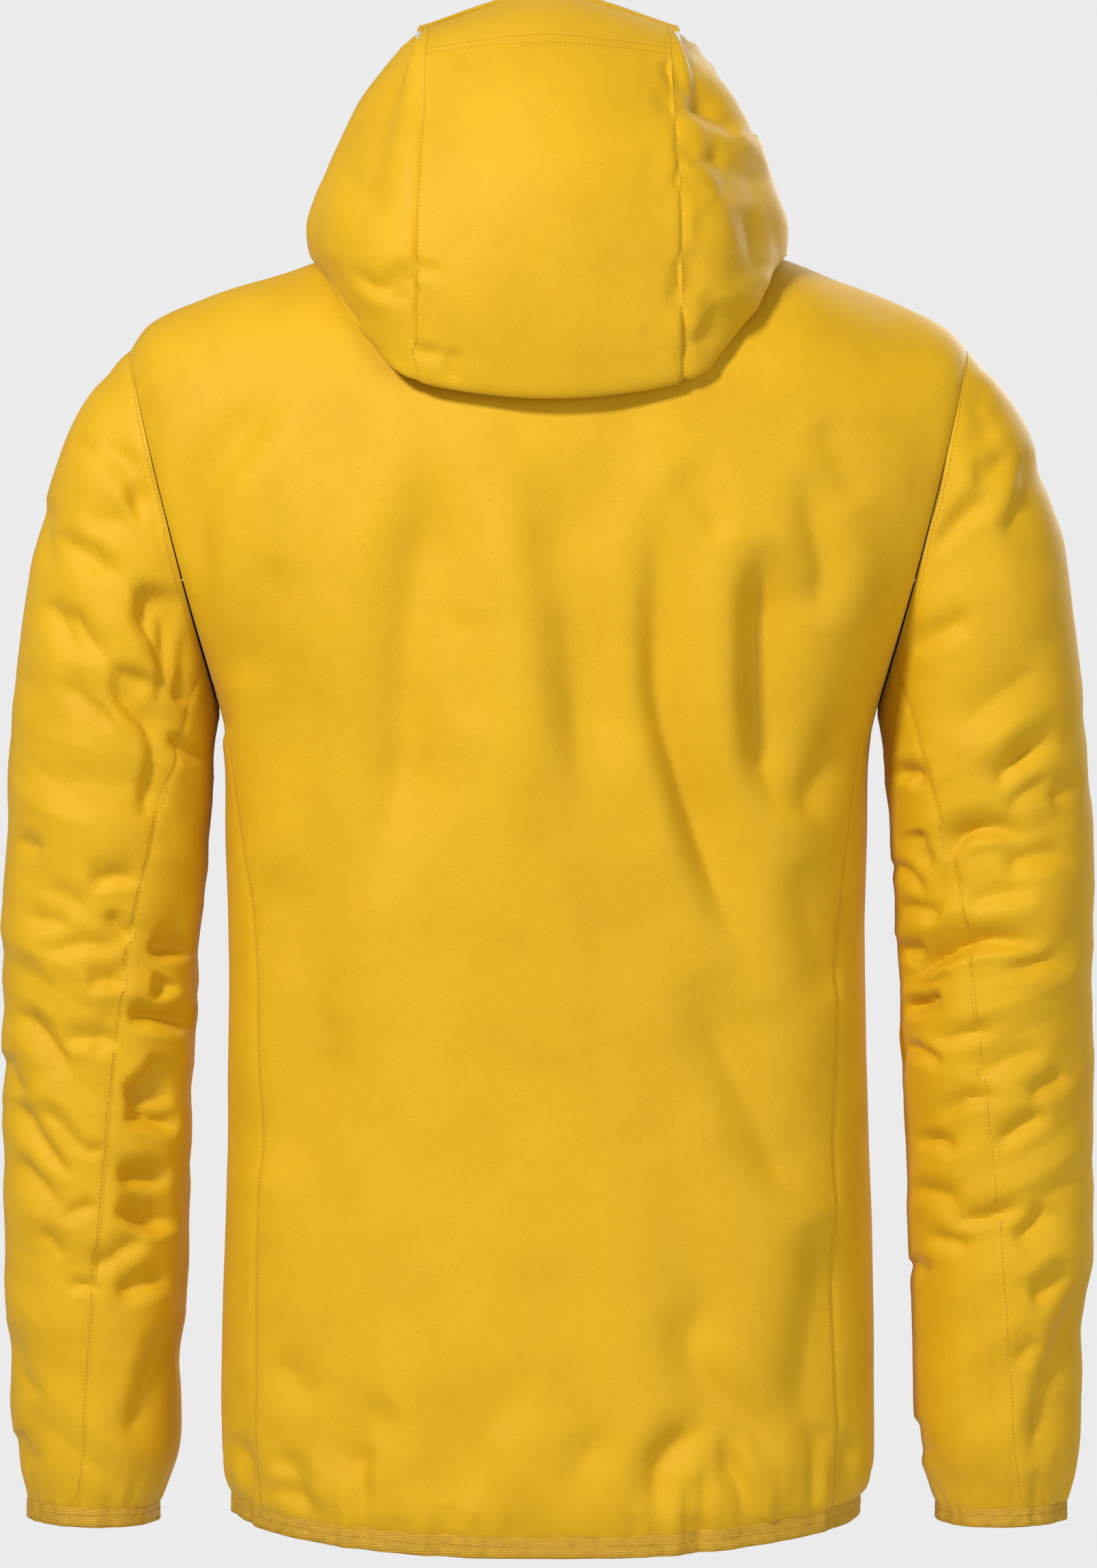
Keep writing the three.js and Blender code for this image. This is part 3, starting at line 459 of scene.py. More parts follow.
LEFT_SLEEVE_FOLDS = [
    ([(273, -85), (262, -88), (252, -93), (242, -99), (233, -105), (227, -108)], 3.4, 10, 3),
    ([(287, -84), (277, -86), (270, -92)], 1.6, 4, 3),
    ([(244, -26), (239, -47), (235, -71), (230, -96)], 2.6, 4, 5),
    ([(249, -109), (247, -119), (242, -129)], 4.0, 4, 9),
    ([(235, -106), (233, -116), (222, -122)], 5.0, 9, 9),
    ([(238, -131), (229, -132), (219, -135)], 4.5, 6, 7),
    ([(276, -138), (270, -133), (260, -131), (249, -132)], 1.8, 6, 6),
    ([(275, -141), (269, -154), (254, -165)], 1.6, 6, 6),
    ([(298, -137), (289, -144), (279, -151), (270, -160), (264, -167)], 2.4, 6, 6),
    ([(300, -116), (302, -139), (299, -164)], 1.8, 5, 7),
    ([(304, -180), (295, -187), (289, -199), (280, -216)], 2.6, 6, 8),
    ([(286, -182), (282, -192), (274, -204), (261, -213)], 2.4, 6, 8),
    ([(251, -178), (242, -176), (230, -177), (220, -179), (213, -181)], 5.5, 14, 4),
    ([(249, -180), (243, -192), (235, -206), (232, -224)], 4.0, 5, 12),
    ([(227, -184), (227, -201), (229, -222), (235, -244)], 3.0, 4, 5),
    ([(216, -186), (217, -207), (219, -232), (222, -242)], 3.0, 4, 6),
    ([(264, -224), (257, -237), (249, -247), (241, -254), (237, -267)], 4.2, 4, 13),
    ([(264, -223), (255, -223), (245, -226), (234, -231)], 2.8, 9, 4),
    ([(297, -227), (282, -234), (269, -246), (257, -256)], 2.2, 8, 9),
    ([(227, -258), (222, -264), (212, -269), (203, -266)], 2.6, 5, 5),
    ([(237, -251), (237, -276), (240, -294), (242, -312)], 2.6, 4, 8),
    ([(276, -351), (267, -347), (257, -345), (244, -347)], 3.4, 3, 9),
    ([(262, -363), (259, -371), (254, -378), (248, -382)], 2.8, 6, 5),
    ([(315, -370), (305, -370), (295, -372), (286, -376)], 1.7, 5, 6),
    ([(308, -392), (294, -388), (280, -385), (265, -386), (254, -384)], 2.3, 5, 7),
    ([(277, -410), (270, -408), (262, -408), (252, -409)], 3.4, 3, 8),
    ([(239, -385), (229, -389), (220, -388), (212, -385)], 5.5, 3, 16),
    ([(239, -412), (232, -413), (227, -410), (224, -406)], 4.2, 3, 12),
    ([(253, -428), (239, -428), (225, -430), (213, -430)], 5.5, 5, 8),
    ([(294, -442), (282, -442), (270, -441), (259, -438)], 2.6, 4, 6),
    ([(274, -451), (265, -445), (255, -443)], 1.6, 4, 4),
    ([(229, -449), (235, -461), (245, -473), (252, -479)], 4.6, 5, 15),
    ([(252, -480), (239, -478), (223, -476)], 3.0, 4, 8),
    ([(254, -489), (242, -489), (230, -492), (222, -494)], 4.4, 4, 6),
    ([(279, -511), (271, -508), (267, -509)], 1.4, 3, 4),
    ([(323, -423), (312, -431), (302, -441), (294, -451), (287, -464)], 3.0, 5, 5),
    ([(324, -475), (315, -485), (309, -496), (302, -506), (294, -516), (283, -526)], 3.2, 5, 5),
    ([(308, -482), (297, -489), (285, -501), (277, -512)], 1.8, 5, 5),
    ([(326, -448), (321, -463), (314, -476)], 2.0, 5, 6),
    ([(303, -354), (290, -355), (275, -364)], 1.4, 6, 6),
    ([(320, -322), (312, -325), (304, -329)], 1.8, 6, 5),
    ([(259, -526), (248, -524), (237, -524), (225, -527)], 4.8, 5, 7),
    ([(261, -544), (250, -548), (240, -553), (231, -552), (221, -548)], 6.0, 3, 16),
    ([(275, -582), (264, -575), (253, -567), (239, -560)], 2.8, 5, 7),
    ([(260, -595), (248, -591), (237, -586), (225, -581)], 3.4, 5, 9),
    ([(289, -593), (282, -589), (276, -589), (265, -593)], 1.8, 3, 4),
    ([(291, -552), (285, -545), (276, -542), (269, -541)], 2.0, 4, 4),
    ([(320, -509), (311, -522), (300, -533), (289, -545)], 2.2, 6, 6),
    ([(322, -609), (319, -631), (313, -647), (302, -659)], 1.9, 6, 8),
    ([(305, -554), (296, -564), (291, -574)], 1.5, 5, 5),
    ([(224, -602), (232, -628), (239, -651), (245, -668), (254, -684)], 3.6, 7, 20),
    ([(319, -675), (314, -686), (305, -699)], 1.5, 6, 6),
]
RIGHT_SLEEVE_FOLDS = [
    ([(-246, -36), (-237, -66), (-228, -99), (-219, -136)], 5.0, 3, 7),
    ([(-236, -64), (-245, -62), (-254, -63), (-263, -68)], 2.8, 5, 4),
    ([(-246, -57), (-255, -54), (-265, -57)], 1.8, 4, 4),
    ([(-245, -83), (-257, -81), (-269, -77)], 1.8, 6, 6),
    ([(-254, -106), (-262, -102), (-270, -97), (-277, -88)], 3.2, 7, 9),
    ([(-285, -89), (-288, -102), (-285, -117), (-279, -132), (-276, -142)], 2.6, 6, 14),
    ([(-220, -155), (-229, -147), (-237, -139), (-247, -131), (-257, -124), (-267, -120),
      (-278, -117)], 4.2, 4, 8),
    ([(-231, -112), (-239, -110), (-246, -112)], 1.8, 4, 5),
    ([(-220, -213), (-227, -202), (-237, -196), (-247, -192), (-256, -190)], 2.8, 6, 8),
    ([(-242, -264), (-254, -249), (-269, -237), (-287, -224), (-294, -211)], 2.4, 13, 13),
    ([(-276, -277), (-287, -269), (-295, -264), (-306, -262)], 2.6, 7, 8),
    ([(-217, -149), (-215, -169), (-216, -192), (-221, -214)], 4.0, 9, 4),
    ([(-266, -293), (-275, -282), (-285, -273), (-298, -265)], 3.2, 5, 8),
    ([(-276, -306), (-282, -298), (-292, -291), (-304, -286)], 2.2, 6, 7),
    ([(-207, -286), (-213, -282), (-220, -284), (-220, -293)], 3.4, 5, 5),
    ([(-220, -315), (-222, -327), (-227, -341)], 3.2, 7, 4),
    ([(-235, -334), (-242, -327), (-247, -321), (-255, -318), (-267, -317), (-280, -319),
      (-293, -323)], 5.0, 2.6, 8),
    ([(-273, -343), (-279, -338), (-287, -334), (-297, -332), (-307, -332),
      (-318, -338)], 3.2, 5, 9),
    ([(-249, -362), (-260, -358), (-274, -354), (-293, -351)], 2.7, 6, 7),
    ([(-204, -335), (-212, -340), (-219, -347), (-225, -358)], 2.2, 3, 3),
    ([(-208, -362), (-219, -363), (-227, -366), (-234, -370)], 2.4, 4, 5),
    ([(-209, -403), (-217, -403), (-225, -397), (-237, -392), (-247, -388), (-257, -385),
      (-270, -384), (-287, -384), (-296, -388)], 6.5, 2.6, 10),
    ([(-270, -400), (-284, -399), (-295, -396), (-301, -395), (-315, -400)], 2.2, 4, 5),
    ([(-210, -422), (-220, -421), (-227, -419), (-236, -416)], 5.0, 2.6, 5),
    ([(-211, -425), (-219, -426), (-227, -425), (-241, -424)], 1.5, 3, 3),
    ([(-208, -408), (-220, -409), (-232, -406), (-241, -401)], 1.6, 3, 4),
    ([(-225, -442), (-237, -441), (-247, -439), (-257, -437), (-271, -438)], 2.2, 4, 6),
    ([(-212, -446), (-220, -447), (-229, -451), (-238, -458)], 2.8, 4, 3),
    ([(-253, -467), (-262, -461), (-274, -454), (-287, -450), (-301, -449)], 2.2, 6, 8),
    ([(-286, -480), (-295, -471), (-304, -466), (-311, -459)], 2.5, 5, 6),
    ([(-233, -491), (-242, -483), (-249, -478), (-260, -476), (-275, -476)], 2.3, 4, 6),
    ([(-266, -507), (-277, -498), (-287, -491), (-301, -486)], 2.8, 5, 6),
    ([(-220, -506), (-227, -502), (-235, -503), (-246, -510)], 2.2, 4, 4),
    ([(-209, -389), (-215, -388), (-221, -389)], 2.2, 4, 5),
    ([(-304, -302), (-310, -291), (-320, -284)], 2.2, 6, 8),
    ([(-240, -554), (-250, -550), (-261, -549), (-273, -546), (-288, -539)], 3.0, 3, 8),
    ([(-215, -530), (-226, -532), (-237, -535), (-248, -540)], 2.2, 5, 6),
    ([(-225, -558), (-236, -561), (-244, -563), (-252, -568)], 2.2, 5, 5),
    ([(-278, -566), (-287, -557), (-295, -549), (-302, -539)], 3.2, 12, 5),
    ([(-286, -596), (-295, -588), (-303, -581), (-313, -574)], 3.0, 10, 5),
    ([(-289, -600), (-298, -593), (-314, -580)], 1.6, 3, 3),
    ([(-324, -573), (-316, -602), (-308, -628), (-299, -655), (-293, -679),
      (-289, -699)], 4.2, 7, 20),
    ([(-255, -588), (-255, -618), (-256, -651), (-258, -684)], 0.6, 2, 3),
    ([(-266, -588), (-267, -634), (-269, -667), (-271, -691)], 0.7, 3, 3),
    ([(-278, -638), (-287, -628), (-295, -621)], 1.7, 6, 6),
    ([(-216, -573), (-221, -577), (-229, -583)], 1.8, 5, 5),
    ([(-218, -667), (-220, -679), (-224, -695)], 1.6, 5, 5),
]
HOOD_FOLDS = [
    ([(118, 22), (103, 8), (88, 16), (80, 22)], 3.4, 4, 7),
    ([(99, -1), (90, 10), (82, 17)], 3.0, 4, 5),
    ([(86, 24), (75, 20), (60, 17)], 1.8, 4, 4),
    ([(92, -2), (84, 4), (76, 9)], 2.0, 3, 4),
    ([(57, -27), (58, -38), (56, -49)], 2.2, 3, 4),
    ([(84, -28), (74, -30), (62, -31)], 1.8, 3, 4),
    ([(127, 86), (116, 70), (104, 60), (96, 50)], 2.2, 8, 9),
    ([(133, 30), (124, 0), (112, -20)], 2.4, 8, 9),
    ([(-78, 100), (-86, 88), (-96, 84), (-106, 88)], 3.0, 5, 8),
    ([(-73, 76), (-84, 72), (-96, 60)], 1.6, 5, 6),
    ([(-72, 24), (-82, 16), (-94, 8), (-100, -2)], 2.0, 5, 8),
    ([(-70, 3), (-80, 6), (-90, 14)], 1.4, 5, 6),
    ([(-98, 99), (-104, 78), (-103, 62), (-92, 48), (-86, 34)], 3.6, 8, 20),
    ([(-104, 4), (-96, -14), (-84, -28)], 4.2, 6, 16),
    ([(-56, -14), (-63, -24), (-70, -34)], 1.0, 5, 5),
    ([(-60, 92), (-62, 80), (-60, 66)], 0.8, 5, 6),
    ([(-118, 60), (-124, 36), (-126, 12)], 3.0, 8, 9),
    ([(-64, 128), (-72, 118), (-88, 116), (-104, 112)], 1.8, 5, 8),
    ([(-68, 146), (-76, 134), (-92, 122)], 2.2, 4, 6),
    ([(-102, 110), (-99, 97), (-105, 81), (-106, 67), (-101, 56), (-89, 47),
      (-79, 35)], -4.0, 12, 26),
    ([(-74, 13), (-87, 11), (-101, 4), (-98, -7), (-87, -19), (-74, -31)], -3.6, 12, 24),
    ([(-78, 32), (-92, 27), (-110, 21), (-124, 9)], 3.4, 22, 16),
    ([(-123, 93), (-124, 69), (-128, 45), (-132, 25)], 3.4, 16, 14),
    ([(-82, 123), (-94, 116), (-106, 106), (-113, 101)], 3.6, 5, 9),
]


# ---- Materials ---------------------------------------------------------------------------------
def new_material(name, roughness, metallic=0.0):
    material = bpy.data.materials.new(name)
    material.use_nodes = True
    nodes, links = material.node_tree.nodes, material.node_tree.links
    shader = nodes["Principled BSDF"]
    shader.inputs["Roughness"].default_value = roughness
    shader.inputs["Metallic"].default_value = metallic
    return material, nodes, links, shader


def mapping(nodes, links, kind="Object"):
    coordinates = nodes.new("ShaderNodeTexCoord")
    placed = nodes.new("ShaderNodeMapping")
    links.new(coordinates.outputs[kind], placed.inputs["Vector"])
    return placed.outputs["Vector"]


def noise_node(nodes, links, vector, scale, detail=2.0, rough=0.5):
    node = nodes.new("ShaderNodeTexNoise")
    node.inputs["Scale"].default_value = scale
    node.inputs["Detail"].default_value = detail
    node.inputs["Roughness"].default_value = rough
    links.new(vector, node.inputs["Vector"])
    return node.outputs["Fac"]


def ramp(nodes, links, factor, stops):
    node = nodes.new("ShaderNodeValToRGB")
    elements = node.color_ramp.elements
    while len(elements) < len(stops):
        elements.new(0.5)
    for element, (place, color) in zip(elements, stops):
        element.position = place
        element.color = (*color, 1)
    links.new(factor, node.inputs["Fac"])
    return node.outputs["Color"]


def mottled(nodes, links, shader, vector, scale, deep, pale, detail=3):
    """A base colour that drifts between two tones; gives back the noise that it drifts by."""
    mottle = noise_node(nodes, links, vector, scale, detail)
    links.new(ramp(nodes, links, mottle, [(0.3, deep), (0.7, pale)]), shader.inputs["Base Color"])
    return mottle


def bump(nodes, links, shader, layers):
    """Bumps on bumps: each layer is its height, its strength and its depth in metres."""
    before = None
    for height, strength, distance in layers:
        node = nodes.new("ShaderNodeBump")
        node.inputs["Strength"].default_value = strength
        node.inputs["Distance"].default_value = distance
        links.new(height, node.inputs["Height"])
        if before:
            links.new(before, node.inputs["Normal"])
        before = node.outputs["Normal"]
    links.new(before, shader.inputs["Normal"])


WAVE = 0.314  # a wave texture's scale times its pitch


def weave(nodes, links, vector, pitch):
    """Over-and-under threads: two crossed sets of waves, multiplied."""
    waves = []
    for direction in ("X", "Y"):
        wave = nodes.new("ShaderNodeTexWave")
        wave.wave_type = "BANDS"
        wave.bands_direction = direction
        wave.inputs["Scale"].default_value = WAVE / pitch
        wave.inputs["Distortion"].default_value = 0.6
        wave.inputs["Detail"].default_value = 1.0
        links.new(vector, wave.inputs["Vector"])
        waves.append(wave.outputs["Fac"])
    product = nodes.new("ShaderNodeMath")
    product.operation = "MULTIPLY"
    links.new(waves[0], product.inputs[0])
    links.new(waves[1], product.inputs[1])
    return product.outputs["Value"]


YELLOW = (0.62, 0.350, 0.004)
YELLOW_DEEP = (0.59, 0.328, 0.003)
YELLOW_PALE = (0.64, 0.366, 0.005)


def shell_fabric():
    """Coated shell cloth: fine close weave, faint mottling and a soft sheen."""
    material, nodes, links, shader = new_material("shell_fabric", 0.62)
    vector = mapping(nodes, links)
    cloth_uv = mapping(nodes, links, "UV")
    mottle = noise_node(nodes, links, vector, 24, 3)
    color = ramp(nodes, links, mottle, [(0.3, YELLOW_DEEP), (0.5, YELLOW), (0.75, YELLOW_PALE)])
    grain = noise_node(nodes, links, vector, 900, 2, 0.6)
    mix = nodes.new("ShaderNodeMix")
    mix.data_type = "RGBA"
    mix.blend_type = "MULTIPLY"
    mix.inputs["Factor"].default_value = 0.16
    links.new(color, mix.inputs[6])
    shade = ramp(nodes, links, grain, [(0.25, (0.55, 0.55, 0.55)), (0.75, (1.3, 1.3, 1.3))])
    links.new(shade, mix.inputs[7])
    links.new(mix.outputs[2], shader.inputs["Base Color"])
    threads = weave(nodes, links, cloth_uv, 0.00062)
    crinkle = noise_node(nodes, links, vector, 180, 4, 0.6)
    layers = [(crinkle, 0.16, 0.0006), (grain, 0.22, 0.00022), (threads, 0.35, 0.00012)]
    bump(nodes, links, shader, layers)
    shader.inputs["Sheen Weight"].default_value = 0.05
    shader.inputs["Sheen Roughness"].default_value = 0.4
    shader.inputs["Specular IOR Level"].default_value = 0.22
    return material


def plain_cloth(name, color, deep, pitch):
    material, nodes, links, shader = new_material(name, 0.8)
    vector = mapping(nodes, links)
    mottled(nodes, links, shader, vector, 60, deep, color)
    threads = noise_node(nodes, links, vector, 1 / pitch, 2)
    bump(nodes, links, shader, [(threads, 0.4, 0.0003)])
    shader.inputs["Sheen Weight"].default_value = 0.1
    return material


def elastic_binding():
    """Ribbed elastic: fine ribs along its length, which run round the opening."""
    material, nodes, links, shader = new_material("elastic_binding", 0.72)
    vector = mapping(nodes, links)
    mottled(nodes, links, shader, vector, 200, (0.44, 0.235, 0.004), (0.55, 0.305, 0.006))
    wave = nodes.new("ShaderNodeTexWave")
    wave.bands_direction = "Z"
    wave.inputs["Scale"].default_value = WAVE / 0.0014
    wave.inputs["Distortion"].default_value = 1.2
    links.new(vector, wave.inputs["Vector"])
    fine = noise_node(nodes, links, vector, 1400, 2)
    bump(nodes, links, shader, [(wave.outputs["Fac"], 0.5, 0.0005), (fine, 0.3, 0.0002)])
    return material


def zip_metal():
    material, nodes, links, shader = new_material("zip_metal", 0.34, 0.9)
    vector = mapping(nodes, links)
    mottled(nodes, links, shader, vector, 420, (0.2, 0.205, 0.21), (0.31, 0.315, 0.32), 4)
    bump(nodes, links, shader, [(noise_node(nodes, links, vector, 1500, 2), 0.1, 0.0001)])
    return material


def zip_coil():
    material, nodes, links, shader = new_material("zip_coil", 0.42)
    vector = mapping(nodes, links)
    tone = mottled(nodes, links, shader, vector, 500, (0.40, 0.215, 0.004), (0.50, 0.275, 0.006))
    bump(nodes, links, shader, [(tone, 0.15, 0.0002)])
    return material


shell = shell_fabric()
thread = plain_cloth("thread", (0.40, 0.20, 0.003), (0.34, 0.165, 0.003), 0.0003)
lining = plain_cloth("lining_fabric", (0.56, 0.57, 0.58), (0.46, 0.47, 0.48), 0.0009)
tape = plain_cloth("tape", (0.52, 0.285, 0.006), (0.46, 0.25, 0.005), 0.0006)
elastic = elastic_binding()
metal = zip_metal()
coil = zip_coil()


# ---- Camera, light and floor -------------------------------------------------------------------
def camera():
    data = bpy.data.cameras.new("camera")
    seen = bpy.data.objects.new("camera", data)
    bpy.context.scene.collection.objects.link(seen)
    data.sensor_fit = "AUTO"
    data.sensor_width = 36
    data.lens = 110
    middle = to_frame([0, 0, WATCH_HEIGHT])
    seen.location = (0, middle[1] + WATCH_DISTANCE / 1000, middle[2])
    seen.rotation_euler = (math.radians(90), 0, math.radians(180))
    data.clip_end = 50
    bpy.context.scene.camera = seen


def area_light(name, place, aim, size, watts, tint=(1, 1, 1)):
    data = bpy.data.lights.new(name, "AREA")
    data.shape = "DISK"
    data.size = size
    data.energy = watts
    data.color = tint
    lamp = bpy.data.objects.new(name, data)
    bpy.context.scene.collection.objects.link(lamp)
    lamp.location = place
    lamp.rotation_euler = (Vector(aim) - Vector(place)).to_track_quat("-Z", "Y").to_euler()


def studio():
    scene = bpy.context.scene
    scene.view_settings.view_transform = "Standard"
    world = bpy.data.worlds.new("studio")
    scene.world = world
    world.use_nodes = True
    nodes, links = world.node_tree.nodes, world.node_tree.links
    background = nodes["Background"]
    background.inputs["Color"].default_value = (0.831, 0.831, 0.831, 1)
    ambient = nodes.new("ShaderNodeBackground")
    ambient.inputs["Color"].default_value = (0.84, 0.85, 0.87, 1)
    ambient.inputs["Strength"].default_value = 0.40
    path = nodes.new("ShaderNodeLightPath")
    mix = nodes.new("ShaderNodeMixShader")
    links.new(path.outputs["Is Camera Ray"], mix.inputs[0])
    links.new(ambient.outputs[0], mix.inputs[1])
    links.new(background.outputs[0], mix.inputs[2])
    links.new(mix.outputs[0], nodes["World Output"].inputs["Surface"])
    area_light("key", (1.65, 2.5, 1.7), (0, 0, -0.35), 0.6, 128, (1, 0.985, 0.96))
    area_light("fill", (-1.9, 2.5, -0.2), (0, 0, -0.45), 1.6, 30)
    area_light("front_key", (-1.6, -2.6, 1.0), (0, 0, -0.35), 1.6, 72)


def floor():
    bpy.ops.mesh.primitive_plane_add(size=4, location=(0, 0, -1.35))
    ground = bpy.context.object
    ground.name = "floor"
    material, nodes, links, shader = new_material("floor", 0.9)
    shader.inputs["Base Color"].default_value = (0.55, 0.55, 0.55, 1)
    ground.data.materials.append(material)


camera()
studio()
floor()


# ---- Making cloth pieces -----------------------------------------------------------------------
def deselect():
    if bpy.context.object and bpy.context.object.mode != "OBJECT":
        bpy.ops.object.mode_set(mode="OBJECT")
    bpy.ops.object.select_all(action="DESELECT")


def choose(piece):
    deselect()
    piece.select_set(True)
    bpy.context.view_layer.objects.active = piece


def edit_all(operator, **settings):
    """Runs an edit-mode operator on all of the active piece."""
    bpy.ops.object.mode_set(mode="EDIT")
    bpy.ops.mesh.select_all(action="SELECT")
    operator(**settings)
    bpy.ops.object.mode_set(mode="OBJECT")


def read(rows, what):
    out = np.empty(len(rows) * 3)
    rows.foreach_get(what, out)
    return out.reshape(-1, 3)


def coordinates(piece):
    return read(piece.data.vertices, "co")


def normals(piece):
    return read(piece.data.vertex_normals, "vector")


def put(piece, points):
    piece.data.vertices.foreach_set("co", np.asarray(points, float).ravel())
    piece.data.update()


def set_uv(piece, u, v, wide, high):
    """Lays the cloth's own flat measure, in metres, on its UV map."""
    layer = piece.data.uv_layers[0]
    loops = np.empty(len(piece.data.loops), int)
    piece.data.loops.foreach_get("vertex_index", loops)
    flat = np.stack([u[loops] * wide, v[loops] * high], 1)
    layer.data.foreach_set("uv", flat.ravel())


def turn_outwards(piece, middle):
    """Turns the faces if they look towards the middle of what they wrap."""
    points, looks = coordinates(piece), normals(piece)
    if ((points - middle) * looks).sum() < 0:
        piece.data.flip_normals()
        piece.data.update()


cloth = {}  # each cloth piece by the name of the panel it is


def grid(name, counts, surface, flat, middle):
    """A grid whose points are set on a surface, which takes u and v, each from 0 to 1. It has its
    flat measure on its UV map, and it faces away from the middle of what it wraps."""
    across, along = counts
    deselect()
    bpy.ops.mesh.primitive_grid_add(x_subdivisions=across, y_subdivisions=along, size=1)
    piece = bpy.context.object
    piece.name = piece.data.name = f"{name}_cloth"
    cloth[name] = piece
    u, v = coordinates(piece)[:, :2].T + 0.5
    put(piece, surface(u, v))
    set_uv(piece, u, v, *flat)
    turn_outwards(piece, middle)
    return piece, u, v


def edge_distance(piece):
    """Each point's distance from the piece's own edge, in millimetres."""
    edges = {}
    for polygon in piece.data.polygons:
        for key in polygon.edge_keys:
            edges[key] = edges.get(key, 0) + 1
    rim = sorted({v for key, count in edges.items() if count == 1 for v in key})
    points = coordinates(piece)
    tree = KDTree(len(rim))
    for v in rim:
        tree.insert(points[v], v)
    tree.balance()
    return np.array([tree.find(p)[2] for p in points])


def ease(piece, points, distance, sharpest=0.7, passes=6):
    """Opens any fold that is sharper than the cloth can turn; the piece's own edge stays."""
    edges = np.empty(len(piece.data.edges) * 2, int)
    piece.data.edges.foreach_get("vertices", edges)
    count = np.bincount(edges, minlength=len(points))[:, None]
    one, other = edges.reshape(-1, 2).T
    for _ in range(passes):
        around = np.zeros_like(points)
        np.add.at(around, one, points[other])
        np.add.at(around, other, points[one])
        off = around / count - points
        size = np.linalg.norm(off, axis=1)
        too_sharp = (size > sharpest) & (distance > 1e-6)
        share = np.where(too_sharp, 1 - sharpest / np.maximum(size, 1e-9), 0)
        points = points + off * share[:, None]
    return points


def seam_groove(points, looks, distance, depth=0.8, width=2.6):
    """Draws the cloth in along its own edge, where it is sewn."""
    return points - looks * (depth * np.exp(-((distance / width) ** 2)))[:, None]


def dress(piece, relief):
    """Presses a panel's folds into it, and draws its edges in."""
    points, looks = coordinates(piece), normals(piece)
    distance = edge_distance(piece)
    points = ease(piece, points + looks * relief(points, looks)[:, None], distance)
    put(piece, seam_groove(points, looks, distance))


def join_frame(piece, body, replaced):
    """Hides the frame's parts that a piece replaces, and hangs the piece on the body that carries
    it.
    """
    if replaced:
        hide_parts(*replaced)
    if body:
        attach(piece, body)


def finish_cloth(piece, body, replaced, thickness=CLOTH, materials=None):
    """Gives a cloth piece its place in the frame, its wall, its materials and its body."""
    put(piece, to_frame(coordinates(piece)))
    for material in materials or (shell, lining):
        piece.data.materials.append(material)
    wall = piece.modifiers.new("wall", "SOLIDIFY")
    wall.thickness = thickness / 1000
    wall.offset = -1
    wall.material_offset = 1
    choose(piece)
    bpy.ops.object.modifier_apply(modifier="wall")
    bpy.ops.object.shade_smooth_by_angle(angle=math.radians(50))
    join_frame(piece, body, replaced)


# ---- The body ----------------------------------------------------------------------------------
RUN_PLACES = np.linspace(0, 1, 400)
body_run = run_along(body_point(np.full(400, 60.0), RUN_PLACES))
sleeve_run = run_along(drawn_sleeve(np.full(400, 90.0), RUN_PLACES))


def along_body(v):
    """The place on the body's rings that lies a share v of the way down the cloth."""
    return np.interp(v, body_run / body_run[-1], RUN_PLACES)


def along_sleeve(v):
    return np.interp(v * sleeve_run[-1], sleeve_run, RUN_PLACES)


def past_pocket(points):
    """How far points of the front are from the pocket zips; everything else is far."""
    flat = np.stack([np.abs(points[:, 0]), points[:, 2]], 1)
    run = POCKET_END - POCKET_TOP
    share = np.clip(((flat - POCKET_TOP) @ run) / (run @ run), 0, 1)
    away = np.linalg.norm(flat - POCKET_TOP - share[:, None] * run, axis=1)
    return np.where(points[:, 1] < 0, away, 999.0)


def body_relief(points, looks):
    """How far the body's cloth stands off its smooth shape, along its normal."""
    seen = seen_from_behind(points)
    from_back = smooth((looks[:, 1] + 0.15) / 0.45)
    relief = press(seen, BACK_FOLDS, *BACK_PRESS) * from_back
    from_front = smooth((-looks[:, 1] - 0.1) / 0.4)
    beside_zip = smooth((np.abs(points[:, 0]) - 34) / 14)
    relief += press(points[:, [0, 2]], FRONT_FOLDS, *FRONT_PRESS) * from_front * beside_zip
    drape = noise(points + 30, (58, 70, 270)) * 4.2 + noise(points, (34, 60, 130)) * 1.3
    relief = (relief + drape) * (0.35 + 0.65 * smooth((points[:, 2] + 726) / 50))
    relief += crumple(points + 500, points[:, 0], (34, 46), 0.3) * 0.35
    gather = noise(points * [1, 0.6, 0.12], (9, 9, 40)) * 2.7
    gather = gather + noise(points * [1, 0.6, 0.1] + 40, (4.5, 5, 30)) * 0.7
    relief += gather * np.exp(-(((points[:, 2] - HEM_LINE) / 46) ** 2))
    neck = smooth((np.hypot(points[:, 0], points[:, 1]) - 95) / 40)
    arm = smooth(-past_armhole(points) / 16)
    arm = np.where(points[:, 2] < ARM_FLOOR, smooth((ARM_FLOOR - points[:, 2]) / 10 + arm), arm)
    return relief * neck * arm * smooth((past_pocket(points) - 9) / 22)


def cut_armholes(piece):
    """Cuts away what lies past each armhole's plane, above the underarm."""
    for side in (1, -1):
        choose(piece)
        bpy.ops.object.mode_set(mode="EDIT")
        bpy.ops.mesh.select_all(action="DESELECT")
        bpy.ops.mesh.select_mode(type="FACE")
        mesh = bmesh.from_edit_mesh(piece.data)
        for face in mesh.faces:
            middle = face.calc_center_median()
            face.select_set(bool(middle.x * side > 120 and middle.z > ARM_BOTTOM[2] - 4))
        bmesh.update_edit_mesh(piece.data)
        place = arm_middle * [side, 1, 1]
        out = arm_out * [side, 1, 1]
        bpy.ops.mesh.bisect(plane_co=place, plane_no=out, clear_outer=True)
        bpy.ops.object.mode_set(mode="OBJECT")


